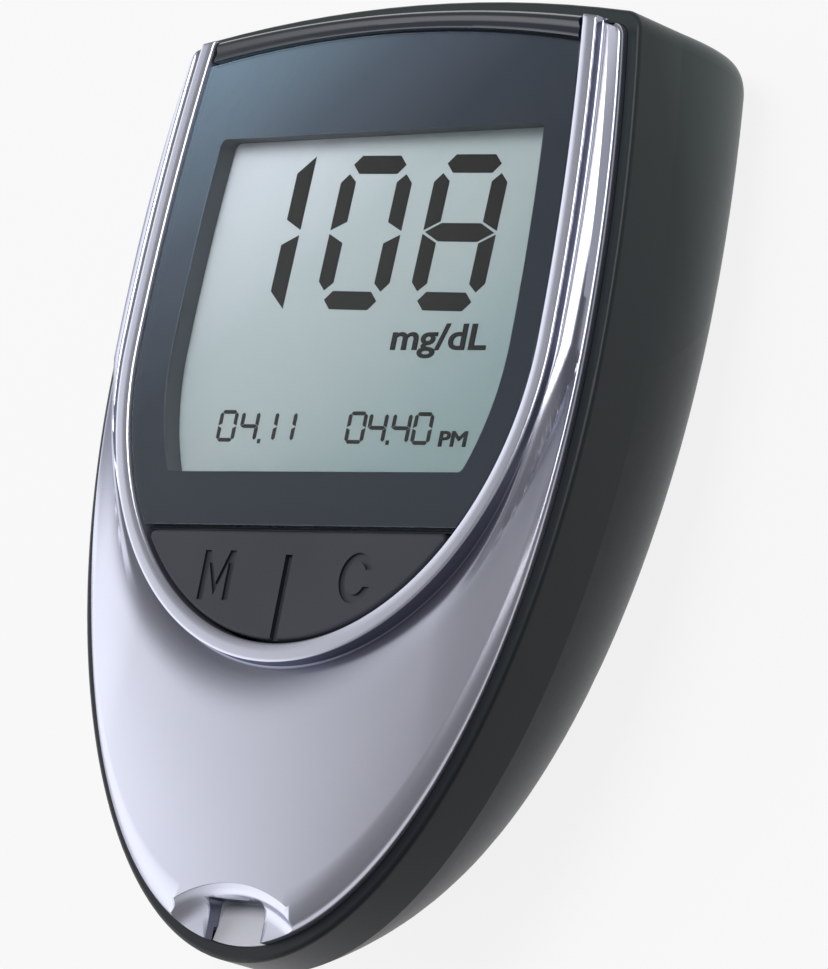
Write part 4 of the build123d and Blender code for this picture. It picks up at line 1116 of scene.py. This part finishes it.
def white_floor():
    material, tree, shader = new_finish("floor")[:3]
    shader.inputs["Base Color"].default_value = (0.78, 0.78, 0.78, 1)
    shader.inputs["Roughness"].default_value = 1.0
    shader.inputs["Specular IOR Level"].default_value = 0.0
    glow = tree.nodes.new("ShaderNodeEmission")
    glow.inputs["Color"].default_value = (1, 1, 1, 1)
    path = tree.nodes.new("ShaderNodeLightPath")
    seen = path.outputs["Is Camera Ray"]
    for output in ("Is Glossy Ray", "Is Transmission Ray"):
        either = tree.nodes.new("ShaderNodeMath")
        either.operation = "MAXIMUM"
        tree.links.new(seen, either.inputs[0])
        tree.links.new(path.outputs[output], either.inputs[1])
        seen = either.outputs["Value"]
    part = tree.nodes.new("ShaderNodeMath")
    part.operation = "MULTIPLY"
    part.inputs[1].default_value = FLOOR_GLOW
    tree.links.new(seen, part.inputs[0])
    mix = tree.nodes.new("ShaderNodeMixShader")
    tree.links.new(part.outputs["Value"], mix.inputs["Fac"])
    tree.links.new(shader.outputs["BSDF"], mix.inputs[1])
    tree.links.new(glow.outputs["Emission"], mix.inputs[2])
    tree.links.new(mix.outputs["Shader"], tree.nodes["Material Output"].inputs["Surface"])
    return material


floor_bm = bmesh.new()
bmesh.ops.create_grid(floor_bm, x_segments=1, y_segments=1, size=FLOOR_HALF)
bmesh.ops.translate(floor_bm, vec=(0, 0, cad_box[0][2] - FLOOR_GAP), verts=floor_bm.verts)
floor = make_object("floor", floor_bm, 1.0)
floor.data.materials.append(white_floor())
print("floor", 2 * FLOOR_HALF, "m wide")


# %% [markdown]
# ## Light
# A soft studio: the surroundings are dim on the right and overhead, and grow bright towards a large soft
# panel low on the left. Flat faces mirror the edge of that panel, so tones slide from light to dark across
# them, and rounded edges that turn to the left draw light lines.

# %% Surroundings
PANEL_DIRECTION = Vector((-0.96, -0.22, 0.05))
PANEL_OUTER = 49.0         # degrees from its middle at which it has faded
PANEL_INNER = 33.5
ROOM = 0.20
PANEL = 1.6


def surroundings():
    world = bpy.data.worlds.new("studio")
    bpy.context.scene.world = world
    world.use_nodes = True
    tree = world.node_tree
    background = tree.nodes["Background"]
    coords = tree.nodes.new("ShaderNodeTexCoord")
    facing = tree.nodes.new("ShaderNodeVectorMath")
    facing.operation = "DOT_PRODUCT"
    facing.inputs[1].default_value = PANEL_DIRECTION.normalized()
    tree.links.new(coords.outputs["Generated"], facing.inputs[0])
    share = tree.nodes.new("ShaderNodeMapRange")
    share.interpolation_type = "SMOOTHSTEP"
    share.inputs["From Min"].default_value = cos(radians(PANEL_OUTER))
    share.inputs["From Max"].default_value = cos(radians(PANEL_INNER))
    share.inputs["To Min"].default_value = ROOM
    share.inputs["To Max"].default_value = PANEL
    tree.links.new(facing.outputs["Value"], share.inputs["Value"])
    tree.links.new(share.outputs["Result"], background.inputs["Strength"])
    background.inputs["Color"].default_value = (0.97, 0.985, 1.0, 1)


surroundings()
print("room", ROOM, "panel", PANEL)

# %% [markdown]
# ### Lamp
# One wide lamp above the display end adds an even light from overhead and the soft shadow on the floor.

# %% Lamp
LAMP_AT = (0.05, 0.3, 0.9)
LAMP_WIDTH = 0.5
LAMP_WATTS = 4.4


def soft_lamp(name, place, aim, width, power):
    data = bpy.data.lights.new(name, "AREA")
    data.shape = "SQUARE"
    data.size = width
    data.energy = power
    lamp = bpy.data.objects.new(name, data)
    bpy.context.scene.collection.objects.link(lamp)
    lamp.location = place
    lamp.rotation_euler = (Vector(aim) - Vector(place)).to_track_quat("-Z", "Y").to_euler()


soft_lamp("lamp_overhead", LAMP_AT, (0, 0, 0), LAMP_WIDTH, LAMP_WATTS)
print("lamp of", LAMP_WATTS, "W")


# %% [markdown]
# ## Camera
# The camera looks down on the lying meter from its right and a little from the strip end, with a long lens,
# and is rolled a few degrees. Its three axes are worked out from those angles.

# %% Camera
AZIMUTH, ELEVATION, ROLL = 47.58, 9.98, 11.12      # degrees
CAMERA_AT = (0.3963, -0.0924, 0.3690)
FOCAL = 222.9
CLIP_START, CLIP_END = 0.01, 20


def place_camera():
    azimuth, elevation, roll = radians(AZIMUTH), radians(ELEVATION), radians(ROLL)
    back = Vector((sin(azimuth) * cos(elevation), -sin(elevation), cos(azimuth) * cos(elevation)))
    level = Vector((0, 1, 0)).cross(back).normalized()
    raised = back.cross(level)
    right = level * cos(roll) + raised * sin(roll)
    up = raised * cos(roll) - level * sin(roll)
    data = bpy.data.cameras.new("camera")
    data.lens = FOCAL
    data.sensor_width = 36
    data.clip_start = CLIP_START
    data.clip_end = CLIP_END
    camera = bpy.data.objects.new("camera", data)
    bpy.context.scene.collection.objects.link(camera)
    pose = Matrix((right, up, back)).transposed().to_4x4()
    pose.translation = Vector(CAMERA_AT)
    camera.matrix_world = pose
    bpy.context.scene.camera = camera


place_camera()
bpy.context.scene.view_settings.view_transform = "Standard"
print("camera at", CAMERA_AT)
